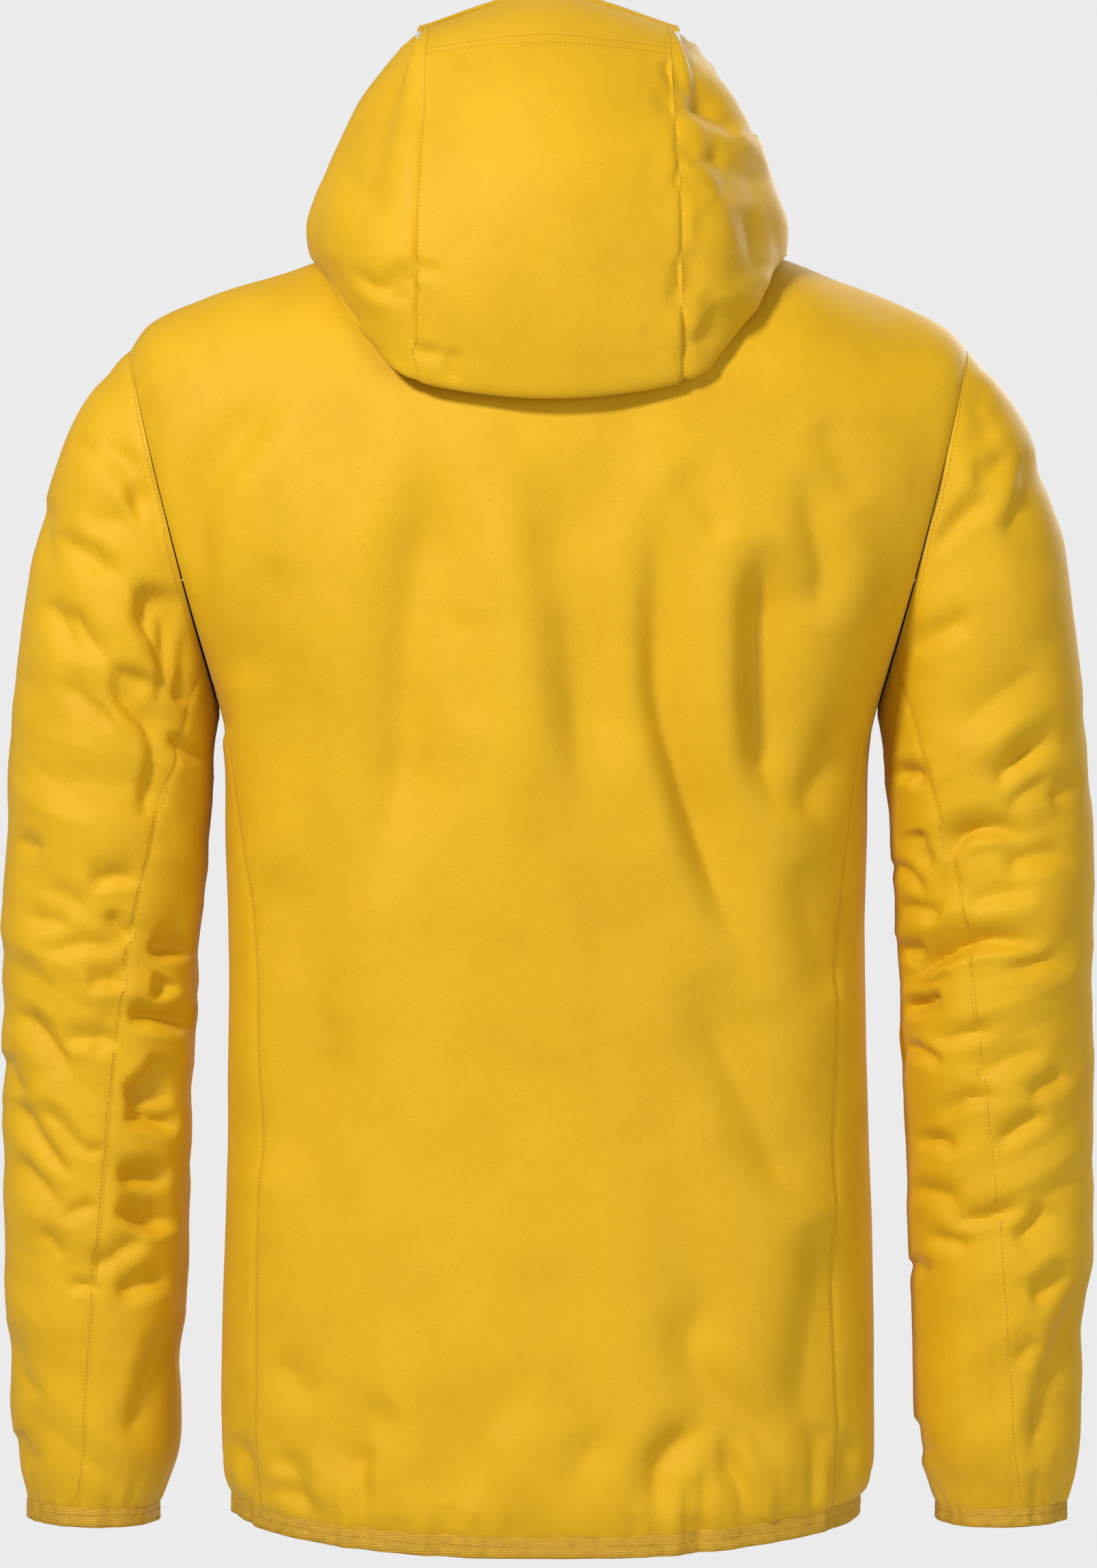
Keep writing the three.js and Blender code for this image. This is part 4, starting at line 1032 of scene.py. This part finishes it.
def body_panel(name, counts, surface, wide):
    piece, _, _ = grid(name, counts, surface, (wide, 0.78), INSIDE_BODY)
    cut_armholes(piece)
    dress(piece, body_relief)
    finish_cloth(piece, "torso", [name])


def back_panel():
    def surface(u, v):
        place = along_body(v)
        seam = side_seam_angle(place)
        return body_point(seam + (180 - 2 * seam) * u, place)

    body_panel("back_panel", (156, 252), surface, 0.46)


def front_panel(name, side):
    def surface(u, v):
        place = along_body(v)
        edge = zip_edge_angle(place)
        seam = side_seam_angle(place)
        return body_point(part_way(edge, seam, u), place) * [side, 1, 1]

    body_panel(f"front_panel_{name}", (76, 210), surface, 0.27)


def folded_tape(v, height):
    """Across a binding folded over a raw edge: how far out it lies, and how far down."""
    across = [0, 0.08, 0.36, 0.5, 0.64, 0.92, 1]
    drop = [-3.4, -3.0, height - 1.1, height - 0.3, height - 1.1, -2.4, -2.6]
    out = np.interp(v, across, [0.15, 0.95, 1.15, 0.1, -1.75, -1.7, -1.3])
    return out, np.interp(v, across, drop)


def hem_binding():
    def surface(u, v):
        edge = zip_edge_angle(np.ones_like(u))
        base = body_point(edge + (180 - 2 * edge) * u, np.ones_like(u))
        out = unit(base * [1, 1.6, 0])
        beside, down = folded_tape(v, HEM_HEIGHT - 1)
        base = base + out * (body_relief(base, out) + beside)[:, None]
        return base - np.stack([0 * u, 0 * u, down], 1)

    piece, _, _ = grid("hem_binding", (420, 14), surface, (0.95, 0.01), INSIDE_HEM)
    finish_cloth(piece, "torso", ["hem_binding"], 0.7, (elastic, elastic))


def collar_point(angle, v):
    s = np.sin(np.radians(angle))
    side = COLLAR_RISE["side"]
    rise = side + (np.where(s > 0, COLLAR_RISE["back"], COLLAR_RISE["front"]) - side) * s * s
    low = ring_point(np.tile(BODY[0], (len(angle), 1)), angle)
    high = ring_point(np.tile(np.array(COLLAR_TOP + [0.0]), (len(angle), 1)), angle)
    x = part_way(low[:, 0], high[:, 0], v)
    z = low[:, 2] + v * rise
    half = part_way(BODY[0, 0], COLLAR_TOP[0], v)
    front = zip_y(z) * front_reach(x, half, 2)
    return np.stack([x, np.where(s > 0, part_way(low[:, 1], high[:, 1], v), front), z], 1)


def collar():
    edge = float(zip_edge_angle(np.zeros(1))[0])

    def surface(u, v):
        return collar_point(edge + (180 - 2 * edge) * u, v)

    piece, _, _ = grid("collar", (150, 26), surface, (0.5, 0.06), np.array([0, 0, 30.0]))
    points, looks = coordinates(piece), normals(piece)
    distance = edge_distance(piece)
    relief = noise(points, (20, 20, 14)) * 0.7 * smooth(distance / 8)
    put(piece, seam_groove(points + looks * relief[:, None], looks, distance))
    finish_cloth(piece, "torso", ["collar"])


back_panel()
for name, side in (("left", 1), ("right", -1)):
    front_panel(name, side)
hem_binding()
collar()


# ---- The sleeves -------------------------------------------------------------------------------
def sleeve_relief(points, looks, side):
    """How far a sleeve's cloth stands off its smooth shape, along its normal."""
    seen = seen_from_behind(points)
    from_back = smooth((looks[:, 1] + 0.85) / 0.6)
    folds = LEFT_SLEEVE_FOLDS if side > 0 else RIGHT_SLEEVE_FOLDS
    relief = press(seen, folds, *SLEEVE_PRESS) * from_back
    tilted = points @ np.array([[1, 0, 0.45 * side], [0, 1, 0.3], [0, 0, 1]]).T
    elbow = np.exp(-(((points[:, 2] + 400) / 130) ** 2))
    around = 58 * np.arctan2(points[:, 1] + 8, points[:, 0] * side - 262)
    quiet = 0.4 + 0.6 * smooth((1 - np.abs(looks[:, 0])) / 0.4)
    relief += crumple(points + 70 * side, around, (46, 27), 0.5) * (1.5 + 2.6 * elbow) * quiet
    relief += crumple(points + 210 * side, around, (27, 14), -0.4) * (0.2 + 1.1 * elbow) * quiet
    relief += noise(tilted + 500, (80, 80, 60)) * 1.2 + noise(points + 90, (9, 9, 12)) * 0.06
    head = smooth(past_armhole(points) / 18)
    cuff = np.exp(-(((points[:, 2] - HEM_LINE) / 26) ** 2))
    gather = noise(points * [1, 1, 0.15] + 11, (7, 7, 30)) * 1.5
    gather = gather + noise(points * [1, 1, 0.1] + 5, (3.6, 4, 30)) * 0.5
    return (relief * smooth((-712 - points[:, 2]) / -24 + 0.2) + gather * cuff) * head


# Each sleeve panel's points across it, its flat width in metres, and a point that it wraps.
SLEEVE_PANELS = {"top": (98, 0.25, (266.0, -10, -400)), "under": (50, 0.12, (290.0, 0, -400))}


def sleeve_panel(kind, name, side):
    def surface(u, v):
        place = along_sleeve(v)
        rows = between(SLEEVE, place)
        back, inner = rows[:, 6], rows[:, 7]
        if kind == "top":
            turn = inner - 360 + (back - inner + 360) * u
        else:
            turn = part_way(back, inner, u)
        return sleeve_point(turn, place) * [side, 1, 1]

    across, wide, middle = SLEEVE_PANELS[kind]
    middle = np.array(middle) * [side, 1, 1]
    piece, _, _ = grid(f"sleeve_{kind}_{name}", (across, 268), surface, (wide, 0.7), middle)
    dress(piece, lambda points, looks: sleeve_relief(points, looks, side))
    finish_cloth(piece, None, [f"sleeve_{kind}_{name}"])
    hang_sleeve(piece)


def hang_sleeve(piece):
    """Bakes the piece's placement into its points, and works out a weight that grows from the
    sleeve's head down the arm; the weight is not used.
    """
    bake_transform(piece)
    points = coordinates(piece) * 1000 + HOOK
    weight = smooth(past_armhole(points) / 120)
    weight = np.maximum(weight, smooth((-250 - points[:, 2]) / 80))
    weight = np.where(points[:, 2] < -330, 1.0, weight)


def cuff_binding(name, side):
    middle = np.array([CUFF_X * side, CUFF_Y, -728])

    def surface(u, v):
        base = sleeve_point(360 * u, np.ones_like(u)) * [side, 1, 1]
        out = unit((base - middle) * [1, 1, 0])
        beside, down = folded_tape(v, CUFF_HEIGHT - 1)
        base = base + out * (sleeve_relief(base, out, side) + beside)[:, None]
        return base - np.stack([0 * u, 0 * u, down], 1)

    node = f"cuff_binding_{name}"
    piece, _, _ = grid(node, (150, 14), surface, (0.26, 0.01), middle)
    choose(piece)
    edit_all(bpy.ops.mesh.remove_doubles, threshold=0.05)
    finish_cloth(piece, f"sleeve_{name}", [node], 0.7, (elastic, elastic))


for name, side in (("left", 1), ("right", -1)):
    for kind in ("top", "under"):
        sleeve_panel(kind, name, side)
    cuff_binding(name, side)


# ---- The hood ----------------------------------------------------------------------------------
def hood_relief(points, looks, seam_distance, seam_run, from_opening):
    """How far the hood's cloth stands off its smooth shape, along its normal."""
    seen = seen_from_behind(points)
    from_back = smooth((looks[:, 1] + 0.3) / 0.5)
    relief = press(seen, HOOD_FOLDS, *HOOD_PRESS) * from_back
    relief += noise(points + 900, (60, 60, 50)) * 1.6
    around = 125 * np.arctan2(points[:, 1], points[:, 0])
    slumped = 0.5 + 0.9 * smooth((np.abs(points[:, 0]) - 62) / 40)
    slumped = slumped + 0.8 * smooth((-points[:, 0] - 62) / 40)
    relief += crumple(points + 900, around, (48, 40), 0.4) * slumped
    still = 0 * seam_run
    pucker = noise(np.stack([seam_run, still + 3, still], 1), (9, 9, 9)) * 0.7
    relief += pucker * (seam_distance / 5) * np.exp(-seam_distance / 7)
    gathers = noise(np.stack([seam_run + 77, still, still + 9], 1), (7, 9, 9)) * 1.8
    relief += gathers * np.exp(-(((from_opening - 20) / 12) ** 2))
    return relief * smooth((from_opening - 6) / 7)


def hang_hood(piece):
    """Bakes the piece's placement into its points."""
    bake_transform(piece)


def hood_panel(name, across, places, counts):
    def surface(u, v):
        return hood_point(part_way(*across, u), part_way(*places, v))

    piece, u, v = grid(name, counts, surface, (0.2, 0.35), INSIDE_HOOD)
    points, looks = coordinates(piece), normals(piece)
    distance = edge_distance(piece)
    place = part_way(*places, v)
    from_opening = np.full_like(u, 99.0)
    if "side" in name:
        from_opening = (u if across[0] < 0.5 else 1 - u) * 150
    seam_run = points[:, 2] + 0.3 * points[:, 1]
    relief = hood_relief(points, looks, distance, seam_run, from_opening)
    free = smooth((place - 0.13) / 0.08) * smooth((1.0 - place) / 0.09)
    lift = relief * free * smooth(distance / 2.5)
    points = ease(piece, points + looks * lift[:, None], distance)
    put(piece, seam_groove(points, looks, distance, 1.2 * smooth((0.96 - place) / 0.2)))
    finish_cloth(piece, None, [name])
    turn_back_lining(piece, place)
    hang_hood(piece)


def turn_back_lining(piece, place):
    """The shell fabric is turned under at the peak and where the hood lies over the shoulders."""
    count = len(place)
    for face in piece.data.polygons:
        inner = [v - count for v in face.vertices if v >= count]
        if len(inner) == len(face.vertices) and not 0.24 < place[inner].mean() < 0.9:
            face.material_index = 0


def facing_out(around, along, here):
    """The hood's normal at a point, from two steps along its surface."""
    look = unit(np.cross(around, along))
    return look * np.sign((look * (here - HEAD)).sum(1, keepdims=True))


def hood_edge():
    """The folded tape round the face opening: up one side, over the peak and down the other."""
    def surface(u, v):
        turn = [0, 0.36, 0.42, 0.58, 0.64, 1]
        across = np.interp(u, turn, [0, 0, 0, 2, 2, 2])
        place = np.interp(u, turn, [0.2, 0.955, 1, 1, 0.955, 0.2])
        deep_across = np.interp(u, turn, [0.036, 0.04, 0.5, 1.5, 1.96, 1.964])
        deep_place = np.interp(u, turn, [0.2, 0.95, 0.965, 0.965, 0.95, 0.2])
        share = np.interp(v, [0, 0.42, 0.5, 0.58, 1], [1, 0.06, 0, 0.06, 1])
        across = part_way(across, deep_across, share)
        place = part_way(place, deep_place, share)
        here = hood_point(across, place)
        low, high = np.clip(across - 0.01, 0, 2), np.clip(across + 0.01, 0, 2)
        around = hood_point(high, place) - hood_point(low, place)
        along = hood_point(across, np.clip(place + 0.01, 0, 1)) - hood_point(across, place - 0.01)
        wall = [0.3, 0.75, 0.75, -0.45, -1.6, -1.6, -1.2]
        off = np.interp(v, [0, 0.06, 0.42, 0.5, 0.58, 0.94, 1], wall)
        return here + facing_out(around, along, here) * off[:, None]

    piece, _, _ = grid("hood_edge", (420, 14), surface, (0.75, 0.016), INSIDE_HOOD)
    finish_cloth(piece, None, [], 0.5, (shell, shell))
    hang_hood(piece)


BACK_OF_HOOD = (SEAM_COLUMN, 2 - SEAM_COLUMN)
hood_panel("hood_side_left", (0.0, SEAM_COLUMN), (FOOT_ROW, 1), (80, 130))
hood_panel("hood_side_right", (2 - SEAM_COLUMN, 2.0), (FOOT_ROW, 1), (80, 130))
hood_panel("hood_center_panel", BACK_OF_HOOD, (FOOT_ROW, PEAK_ROW), (56, 110))
hood_panel("hood_peak", BACK_OF_HOOD, (PEAK_ROW, 1), (56, 26))
hood_edge()


# ---- The collar's inside and the loop ------------------------------------------------------------
def finish_trim(piece, node, thickness, materials):
    """Finishes a trim of the body: softens it a little and gives it a wall."""
    points, looks = coordinates(piece), normals(piece)
    put(piece, points + looks * (noise(points, (14, 14, 20)) * 0.18)[:, None])
    finish_cloth(piece, "torso", [node], thickness, materials)


def neck_facing():
    def surface(u, v):
        return on_shoulders(44 + 92 * u, 0.006 + 0.084 * v, -3.6)

    piece, _, _ = grid("neck_facing", (70, 18), surface, (0.16, 0.05), np.zeros(3))
    finish_trim(piece, "neck_facing", 1.0, (lining, lining))


def hanger_loop():
    """A flat tape in an arch, its ends turned down to the neck seam."""
    def surface(u, v):
        t = u * np.pi
        x = -23 * np.cos(t) * (1 - 0.06 * np.sin(t))
        z = HOOK[2] + 0.65 - 16.5 * (np.abs(np.cos(t)) ** 3.2)
        return np.stack([x, HOOK[1] + (v - 0.5) * 6.6 + 0 * x, z], 1)

    middle = HOOK * [1, 1, 0]
    piece, _, _ = grid("hanger_loop", (46, 8), surface, (0.06, 0.007), middle)
    finish_cloth(piece, "torso", ["hanger_loop"], 1.1, (tape, tape))


neck_facing()
hanger_loop()


# ---- The front zip -----------------------------------------------------------------------------
ZIP_LENGTH, ZIP_START = 756.5, 37.0
TOOTH_PITCH = 2.5
lean_cos, lean_sin = math.cos(math.atan(ZIP_LEAN)), math.sin(math.atan(ZIP_LEAN))


def on_zip(x, y, z):
    """From the zip's own measure (across, inwards, up from its top) to the body's."""
    y, z = np.asarray(y, float), np.asarray(z, float)
    inwards = zip_y(ZIP_START) + y * lean_cos + z * lean_sin
    return np.stack(np.broadcast_arrays(x, inwards, ZIP_START - y * lean_sin + z * lean_cos), 1)


def zip_strip(name, x, y, z, counts, thickness, materials):
    """A flat strip along the zip, between two sides and two ends, at one depth."""
    def surface(u, v):
        return on_zip(part_way(*x, u), np.full_like(u, y), part_way(*z, v))

    flat = abs(x[1] - x[0]) / 1000, abs(z[1] - z[0]) / 1000
    piece, _, _ = grid(name, counts, surface, flat, INSIDE_BODY)
    finish_trim(piece, name, thickness, materials)


def copies(name, shape, places, body, material, nodes):
    """One mesh of many copies of a small shape; a place is its middle and three axes."""
    points, faces = shape
    middles, axes = places
    verts = (points[None] @ axes + middles[:, None]).reshape(-1, 3)
    count = len(points)
    all_faces = [[v + k * count for v in face] for k in range(len(middles)) for face in faces]
    mesh = bpy.data.meshes.new(name)
    mesh.from_pydata(verts.tolist(), [], all_faces)
    piece = bpy.data.objects.new(name, mesh)
    bpy.context.scene.collection.objects.link(piece)
    mesh.materials.append(material)
    choose(piece)
    bpy.ops.object.shade_smooth_by_angle(angle=math.radians(40))
    join_frame(piece, body, nodes)
    return piece


def taken(piece):
    """A primitive's points and faces; the primitive itself is put away."""
    shape = coordinates(piece), [list(p.vertices) for p in piece.data.polygons]
    bpy.data.objects.remove(piece)
    return shape


def coil_turn():
    """One turn of the coil, as it shows: a rounded bar across, with a thicker head."""
    deselect()
    bpy.ops.mesh.primitive_cube_add(size=1)
    piece = bpy.context.object
    edit_all(bpy.ops.mesh.bevel, offset=0.22, segments=1)
    points, faces = taken(piece)
    points[:, 1:] *= np.where(points[:, :1] < 0, 1.12, 0.92)
    return points, faces


tooth = coil_turn()


def coil_side(name, side):
    """One half of the coil; the right half's turns lie between the left half's."""
    offset = 0 if side > 0 else TOOTH_PITCH / 2
    z = -np.arange(0, (ZIP_LENGTH - 9.6 - 5.2) / TOOTH_PITCH) * TOOTH_PITCH - 5.0 - offset
    z = z[z > -ZIP_LENGTH + 10.4]
    middles = to_frame(on_zip(np.full(len(z), 2.05 * side), np.full(len(z), 1.75), z))
    wide, deep, high = 2.75 * side, 1.35 * side, 1.5
    turn = np.array([
        [wide, 0, 0],
        [0, deep * lean_cos, -deep * lean_sin],
        [0, high * lean_sin, high * lean_cos],
    ]) / 1000
    places = middles, np.tile(turn, (len(z), 1, 1))
    node = f"zip_coil_{name}"
    copies(f"{node}_turns", tooth, places, "torso", coil, [node])


for name, side in (("left", 1), ("right", -1)):
    sides, ends = (0.9 * side, 15.9 * side), (-ZIP_LENGTH, 0)
    zip_strip(f"zip_tape_{name}", sides, 2.85, ends, (8, 190), 0.8, (tape, tape))
    coil_side(name, side)
ends = (-ZIP_LENGTH + 14, -1)
zip_strip("storm_flap", (-16, 22), 6.25, ends, (14, 190), 1.0, (shell, lining))
ends = (-26, -1.5)
zip_strip("chin_guard", (-20, 20), 8.25, ends, (20, 14), 1.0, (lining, lining))


# ---- The pockets -------------------------------------------------------------------------------
ring_places = np.linspace(0.4, 1, 600)
ring_heights = between(BODY, ring_places)[:, 4]


def front_at(x, z):
    """A point on the front, from how far across it is and how high."""
    x, z = np.broadcast_arrays(np.asarray(x, float), np.asarray(z, float))
    rows = between(BODY, np.interp(-z, -ring_heights, ring_places))
    return np.stack([x, zip_y(z) * front_reach(x, rows[:, 0], rows[:, 5]), z], 1)


def pocket_axes(side):
    """The pocket zip's middle and its own directions: across, inwards and up."""
    ends = front_at(*np.array([POCKET_TOP, POCKET_END]).T)
    up = ends[0] - ends[1]
    length = np.linalg.norm(up)
    up /= length
    middle = ends.mean(0)
    across = front_at([middle[0] + 12], [middle[2]])[0] - middle
    across -= across.dot(up) * up
    across /= np.linalg.norm(across)
    inwards = np.cross(up, across)
    flip = np.array([side, 1, 1])
    return middle * flip, across * flip * side, inwards * flip, up * flip, length


def pocket_patch(inner, outer, above, below, depth, side):
    """A patch behind the front that leans as the pocket zip does, reaching past it all round."""
    def surface(u, v):
        z = POCKET_TOP[1] + above + (POCKET_END[1] - below - POCKET_TOP[1] - above) * v
        share = (POCKET_TOP[1] - z) / (POCKET_TOP[1] - POCKET_END[1])
        x = part_way(POCKET_TOP[0], POCKET_END[0], share) + inner + (outer - inner) * u
        here = front_at(x, z)
        look = unit(np.cross(front_at(x + 1, z) - here, front_at(x, z + 1) - here))
        look *= np.sign(-look[:, 1:2])
        return (here - look * depth) * [side, 1, 1]

    return surface


def pocket(name, side):
    middle, across, inwards, up, length = pocket_axes(side)
    behind = np.array([0, 0, -500.0])
    patch = pocket_patch(-12, 12, 6, 6, 4.2, side)
    piece, _, _ = grid(f"pocket_tape_{name}", (12, 60), patch, (0.024, 0.17), behind)
    finish_trim(piece, f"pocket_tape_{name}", 0.7, (tape, tape))
    patch = pocket_patch(-88, 12, 12, 26, 8.4, side)
    piece, _, _ = grid(f"pocket_bag_{name}", (50, 90), patch, (0.1, 0.2), behind)
    points, looks = coordinates(piece), normals(piece)
    inner = edge_distance(piece)
    sag = 1.2 * smooth(inner / 20) + noise(points, (24, 20, 30)) * smooth(inner / 12)
    put(piece, points - looks * sag[:, None])
    finish_trim(piece, f"pocket_bag_{name}", 0.9, (lining, lining))
    rise = np.arange(-length / 2 + 2, length / 2 - 2, 1.9)
    rows = [(0.9, rise), (-0.9, rise + 0.95)]
    middles = [middle + across * x + inwards * 2.35 + up * z[:, None] for x, z in rows]
    turn = np.array([across * 1.75, inwards * 1.2, up * 1.15]) / 1000
    turns = [np.tile(turn * np.array([[k], [k], [1]]), (len(rise), 1, 1)) for k in (1, -1)]
    places = to_frame(np.concatenate(middles)), np.concatenate(turns)
    node = f"pocket_coil_{name}"
    copies(f"{node}_turns", tooth, places, "torso", coil, [node])
    slot(cloth[f"front_panel_{name}"], middle, across, inwards, up, length)


def slot(panel, middle, across, inwards, up, length):
    """Cuts the pocket's mouth through the front."""
    deselect()
    bpy.ops.mesh.primitive_cube_add(size=1)
    cutter = bpy.context.object
    block = coordinates(cutter) * [POCKET_SLOT, 40, length]
    put(cutter, to_frame(middle + block @ np.array([across, inwards, up])))
    edit_all(bpy.ops.mesh.normals_make_consistent, inside=False)
    choose(panel)
    cut = panel.modifiers.new("pocket mouth", "BOOLEAN")
    cut.operation = "DIFFERENCE"
    cut.solver = "EXACT"
    cut.object = cutter
    bpy.ops.object.modifier_apply(modifier="pocket mouth")
    bpy.data.objects.remove(cutter)


for name, side in (("left", 1), ("right", -1)):
    pocket(name, side)


# ---- The hood's elastic ------------------------------------------------------------------------
def hood_elastic(name, side):
    def surface(u, v):
        across, place = 0.01 + 0.08 * u, 0.3 + 0.65 * v
        here = hood_point(across, place)
        around = hood_point(across + 0.004, place) - here
        look = facing_out(around, hood_point(across, place + 0.004) - here, here)
        ruffle = noise(np.stack([v * 220, 0 * v, 0 * v], 1), (5, 9, 9)) * 0.7
        return (here - look * (4.0 + ruffle)[:, None]) * [side, 1, 1]

    node = f"hood_elastic_{name}"
    piece, _, _ = grid(node, (8, 130), surface, (0.02, 0.2), INSIDE_HOOD)
    finish_cloth(piece, None, [node], 0.9, (elastic, elastic))
    hang_hood(piece)


for name, side in (("left", 1), ("right", -1)):
    hood_elastic(name, side)


# ---- Sewing ------------------------------------------------------------------------------------
STITCH_PITCH = 2.5
STITCH_SIZE = [0.00092, 0.00026, 0.0002]  # half its length, width and thickness, in metres
STITCH_LIFT = 0.00004


def stitch_shape():
    deselect()
    bpy.ops.mesh.primitive_ico_sphere_add(subdivisions=1, radius=1)
    points, faces = taken(bpy.context.object)
    return points * STITCH_SIZE, faces


stitch = stitch_shape()


def nearest(place, panels):
    """The point of the panels' cloth nearest to a place, and which way the cloth looks there."""
    hits = [panel.closest_point_on_mesh(Vector(place)) for panel in panels]
    _, spot, look, _ = min(hits, key=lambda hit: (Vector(place) - hit[1]).length)
    return (*spot, *look)


def sew(name, rows, panels, hold):
    """Lays rows of stitches on the panels' cloth, wherever it has come to lie."""
    middles, turns = [], []
    for row in rows:
        run = run_along(row)
        at = np.arange(STITCH_PITCH, run[-1], STITCH_PITCH)
        places = to_frame(np.stack([np.interp(at, run, row[:, k]) for k in range(3)], 1))
        found = np.array([nearest(place, panels) for place in places])
        along = unit(np.gradient(found[:, :3], axis=0))
        look = unit(found[:, 3:])
        side = unit(np.cross(look, along))
        along = np.cross(side, look)
        middles.append(found[:, :3] + look * STITCH_LIFT)
        turns.append(np.stack([along, side, look], 1))
    places = np.concatenate(middles), np.concatenate(turns)
    piece = copies(name, stitch, places, None if callable(hold) else hold, thread, [])
    if callable(hold):
        hold(piece)


def outside_sleeve(turn, place, side):
    points = sleeve_point(turn, place)
    rows = between(SLEEVE, place)
    middle = np.stack([(rows[:, 0] + rows[:, 2]) / 2, rows[:, 5], (rows[:, 1] + rows[:, 3]) / 2], 1)
    return (points + 6 * unit(points - middle)) * [side, 1, 1]


def outside_hood(across, place):
    points = hood_point(across, place)
    return points + 5 * unit(points - HEAD)


def sew_body():
    low = 0.575 + 0.42 * np.linspace(0, 1, 200)
    seam = on_shoulders(side_seam_angle(low) + 0.7, low, 6)
    rows = [seam * [side, 1, 1] for side in (1, -1)]
    sew("stitches_side_seams", rows, [cloth["back_panel"]], "torso")
    rows = []
    down = np.linspace(-34, -700, 200)
    z = np.linspace(POCKET_TOP[1] + 5, POCKET_END[1] - 5, 60)
    x = np.interp(-z, [-POCKET_TOP[1], -POCKET_END[1]], [POCKET_TOP[0], POCKET_END[0]])
    for side in (1, -1):
        for beside_zip in (12.5, 26.0):
            rows.append(np.stack([np.full(200, beside_zip * side), zip_y(down) - 6, down], 1))
        for beside_pocket in (-7.5, 7.5):
            rows.append((front_at(x + beside_pocket, z) - [0, 6, 0]) * [side, 1, 1])
    panels = [cloth["front_panel_left"], cloth["front_panel_right"]]
    sew("stitches_front", rows, panels, "torso")
    angle = np.clip(-86 + 352 * np.linspace(0, 1, 200), -86, 266)
    hem = on_shoulders(angle, np.full(200, 0.9999), 5) - [0, 0, 1.4]
    sew("stitches_hem", [hem], [cloth["hem_binding"]], "torso")


def sew_sleeve(name, side):
    place = along_sleeve(np.linspace(0.03, 0.99, 300))
    rings = between(SLEEVE, place)
    head = np.linspace(0, 360, 200)
    rows = [outside_sleeve(rings[:, 6] - 1.6, place, side)]
    rows.append(outside_sleeve(rings[:, 7] - 358.4, place, side))
    rows.append(outside_sleeve(head, np.full(200, along_sleeve(np.array([0.003]))[0]), side))
    panels = [cloth[f"sleeve_top_{name}"], cloth[f"sleeve_under_{name}"]]
    sew(f"stitches_sleeve_{name}", rows, panels, lambda piece: hang_sleeve(piece))
    ring = sleeve_point(head, np.ones(200)) * [side, 1, 1]
    ring += 4 * unit((ring - np.array([CUFF_X * side, CUFF_Y, 0])) * [1, 1, 0]) - [0, 0, 1.4]
    sew(f"stitches_cuff_{name}", [ring], [cloth[f"cuff_binding_{name}"]], f"sleeve_{name}")


def sew_hood():
    place = np.linspace(0.12, 0.985, 200)
    beside = (SEAM_COLUMN + 0.005, 2 - SEAM_COLUMN - 0.005)
    rows = [outside_hood(np.full(200, at), place) for at in beside]
    across = np.linspace(*BACK_OF_HOOD, 120)
    for at in (PEAK_ROW - 0.006, PEAK_ROW + 0.012):
        rows.append(outside_hood(across, np.full(120, at)))
    panels = [cloth["hood_center_panel"], cloth["hood_peak"]]
    sew("stitches_hood", rows, panels, hang_hood)


bpy.context.view_layer.update()
sew_body()
for name, side in (("left", 1), ("right", -1)):
    sew_sleeve(name, side)
sew_hood()


# ---- The flat cuts -------------------------------------------------------------------------------
# Each piece's cut: its width and length in metres, its area where it isn't a rectangle, how it is
# held, and the pieces it hangs from or lies on.
BODY_PIECES = ["back_panel", "front_panel_left", "front_panel_right"]
CUTS = [
    ("back_panel", 0.60, 0.77, 0.335, "hung", []),
    ("front_panel_*", 0.32, 0.76, 0.200, "hung", ["back_panel"]),
    ("collar", 0.46, 0.055, 0.0225, "hung", BODY_PIECES),
    ("hem_binding", 0.97, 0.027, None, "stretched", BODY_PIECES),
    ("sleeve_top_*", 0.32, 0.72, 0.158, "hung", ["back_panel"]),
    ("sleeve_under_*", 0.17, 0.52, 0.060, "hung", ["sleeve_top_*"]),
    ("cuff_binding_*", 0.25, 0.026, None, "stretched", ["sleeve_top_*"]),
    ("hood_side_*", 0.27, 0.26, 0.0445, "draped", ["collar", "back_panel"]),
    ("hood_center_panel", 0.16, 0.30, 0.0460, "draped", ["collar", "back_panel"]),
    ("hood_peak", 0.155, 0.065, 0.0092, "draped", ["hood_center_panel"]),
    ("hood_edge", 0.56, 0.014, None, "hung", ["hood_side_left", "hood_side_right", "hood_peak"]),
    ("hood_elastic_*", 0.17, 0.010, None, "stretched", ["hood_side_*"]),
    ("neck_facing", 0.20, 0.045, 0.0057, "hung", ["collar"]),
    ("storm_flap", 0.038, 0.742, None, "hung", ["front_panel_left"]),
    ("chin_guard", 0.040, 0.0245, None, "hung", ["front_panel_left"]),
    ("zip_tape_*", 0.015, 0.757, None, "hung", ["front_panel_*"]),
    ("pocket_tape_*", 0.026, 0.175, None, "hung", ["front_panel_*"]),
    ("pocket_bag_*", 0.10, 0.20, None, "hung", ["front_panel_*"]),
]
for pattern, wide, long, area, held, on in CUTS:
    for side in ("left", "right") if "*" in pattern else ("",):
        name = pattern.replace("*", side)


# ---- What is kept from the frame ----------------------------------------------------------------
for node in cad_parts.values():
    node.data.materials.clear()
    node.data.materials.append(metal)
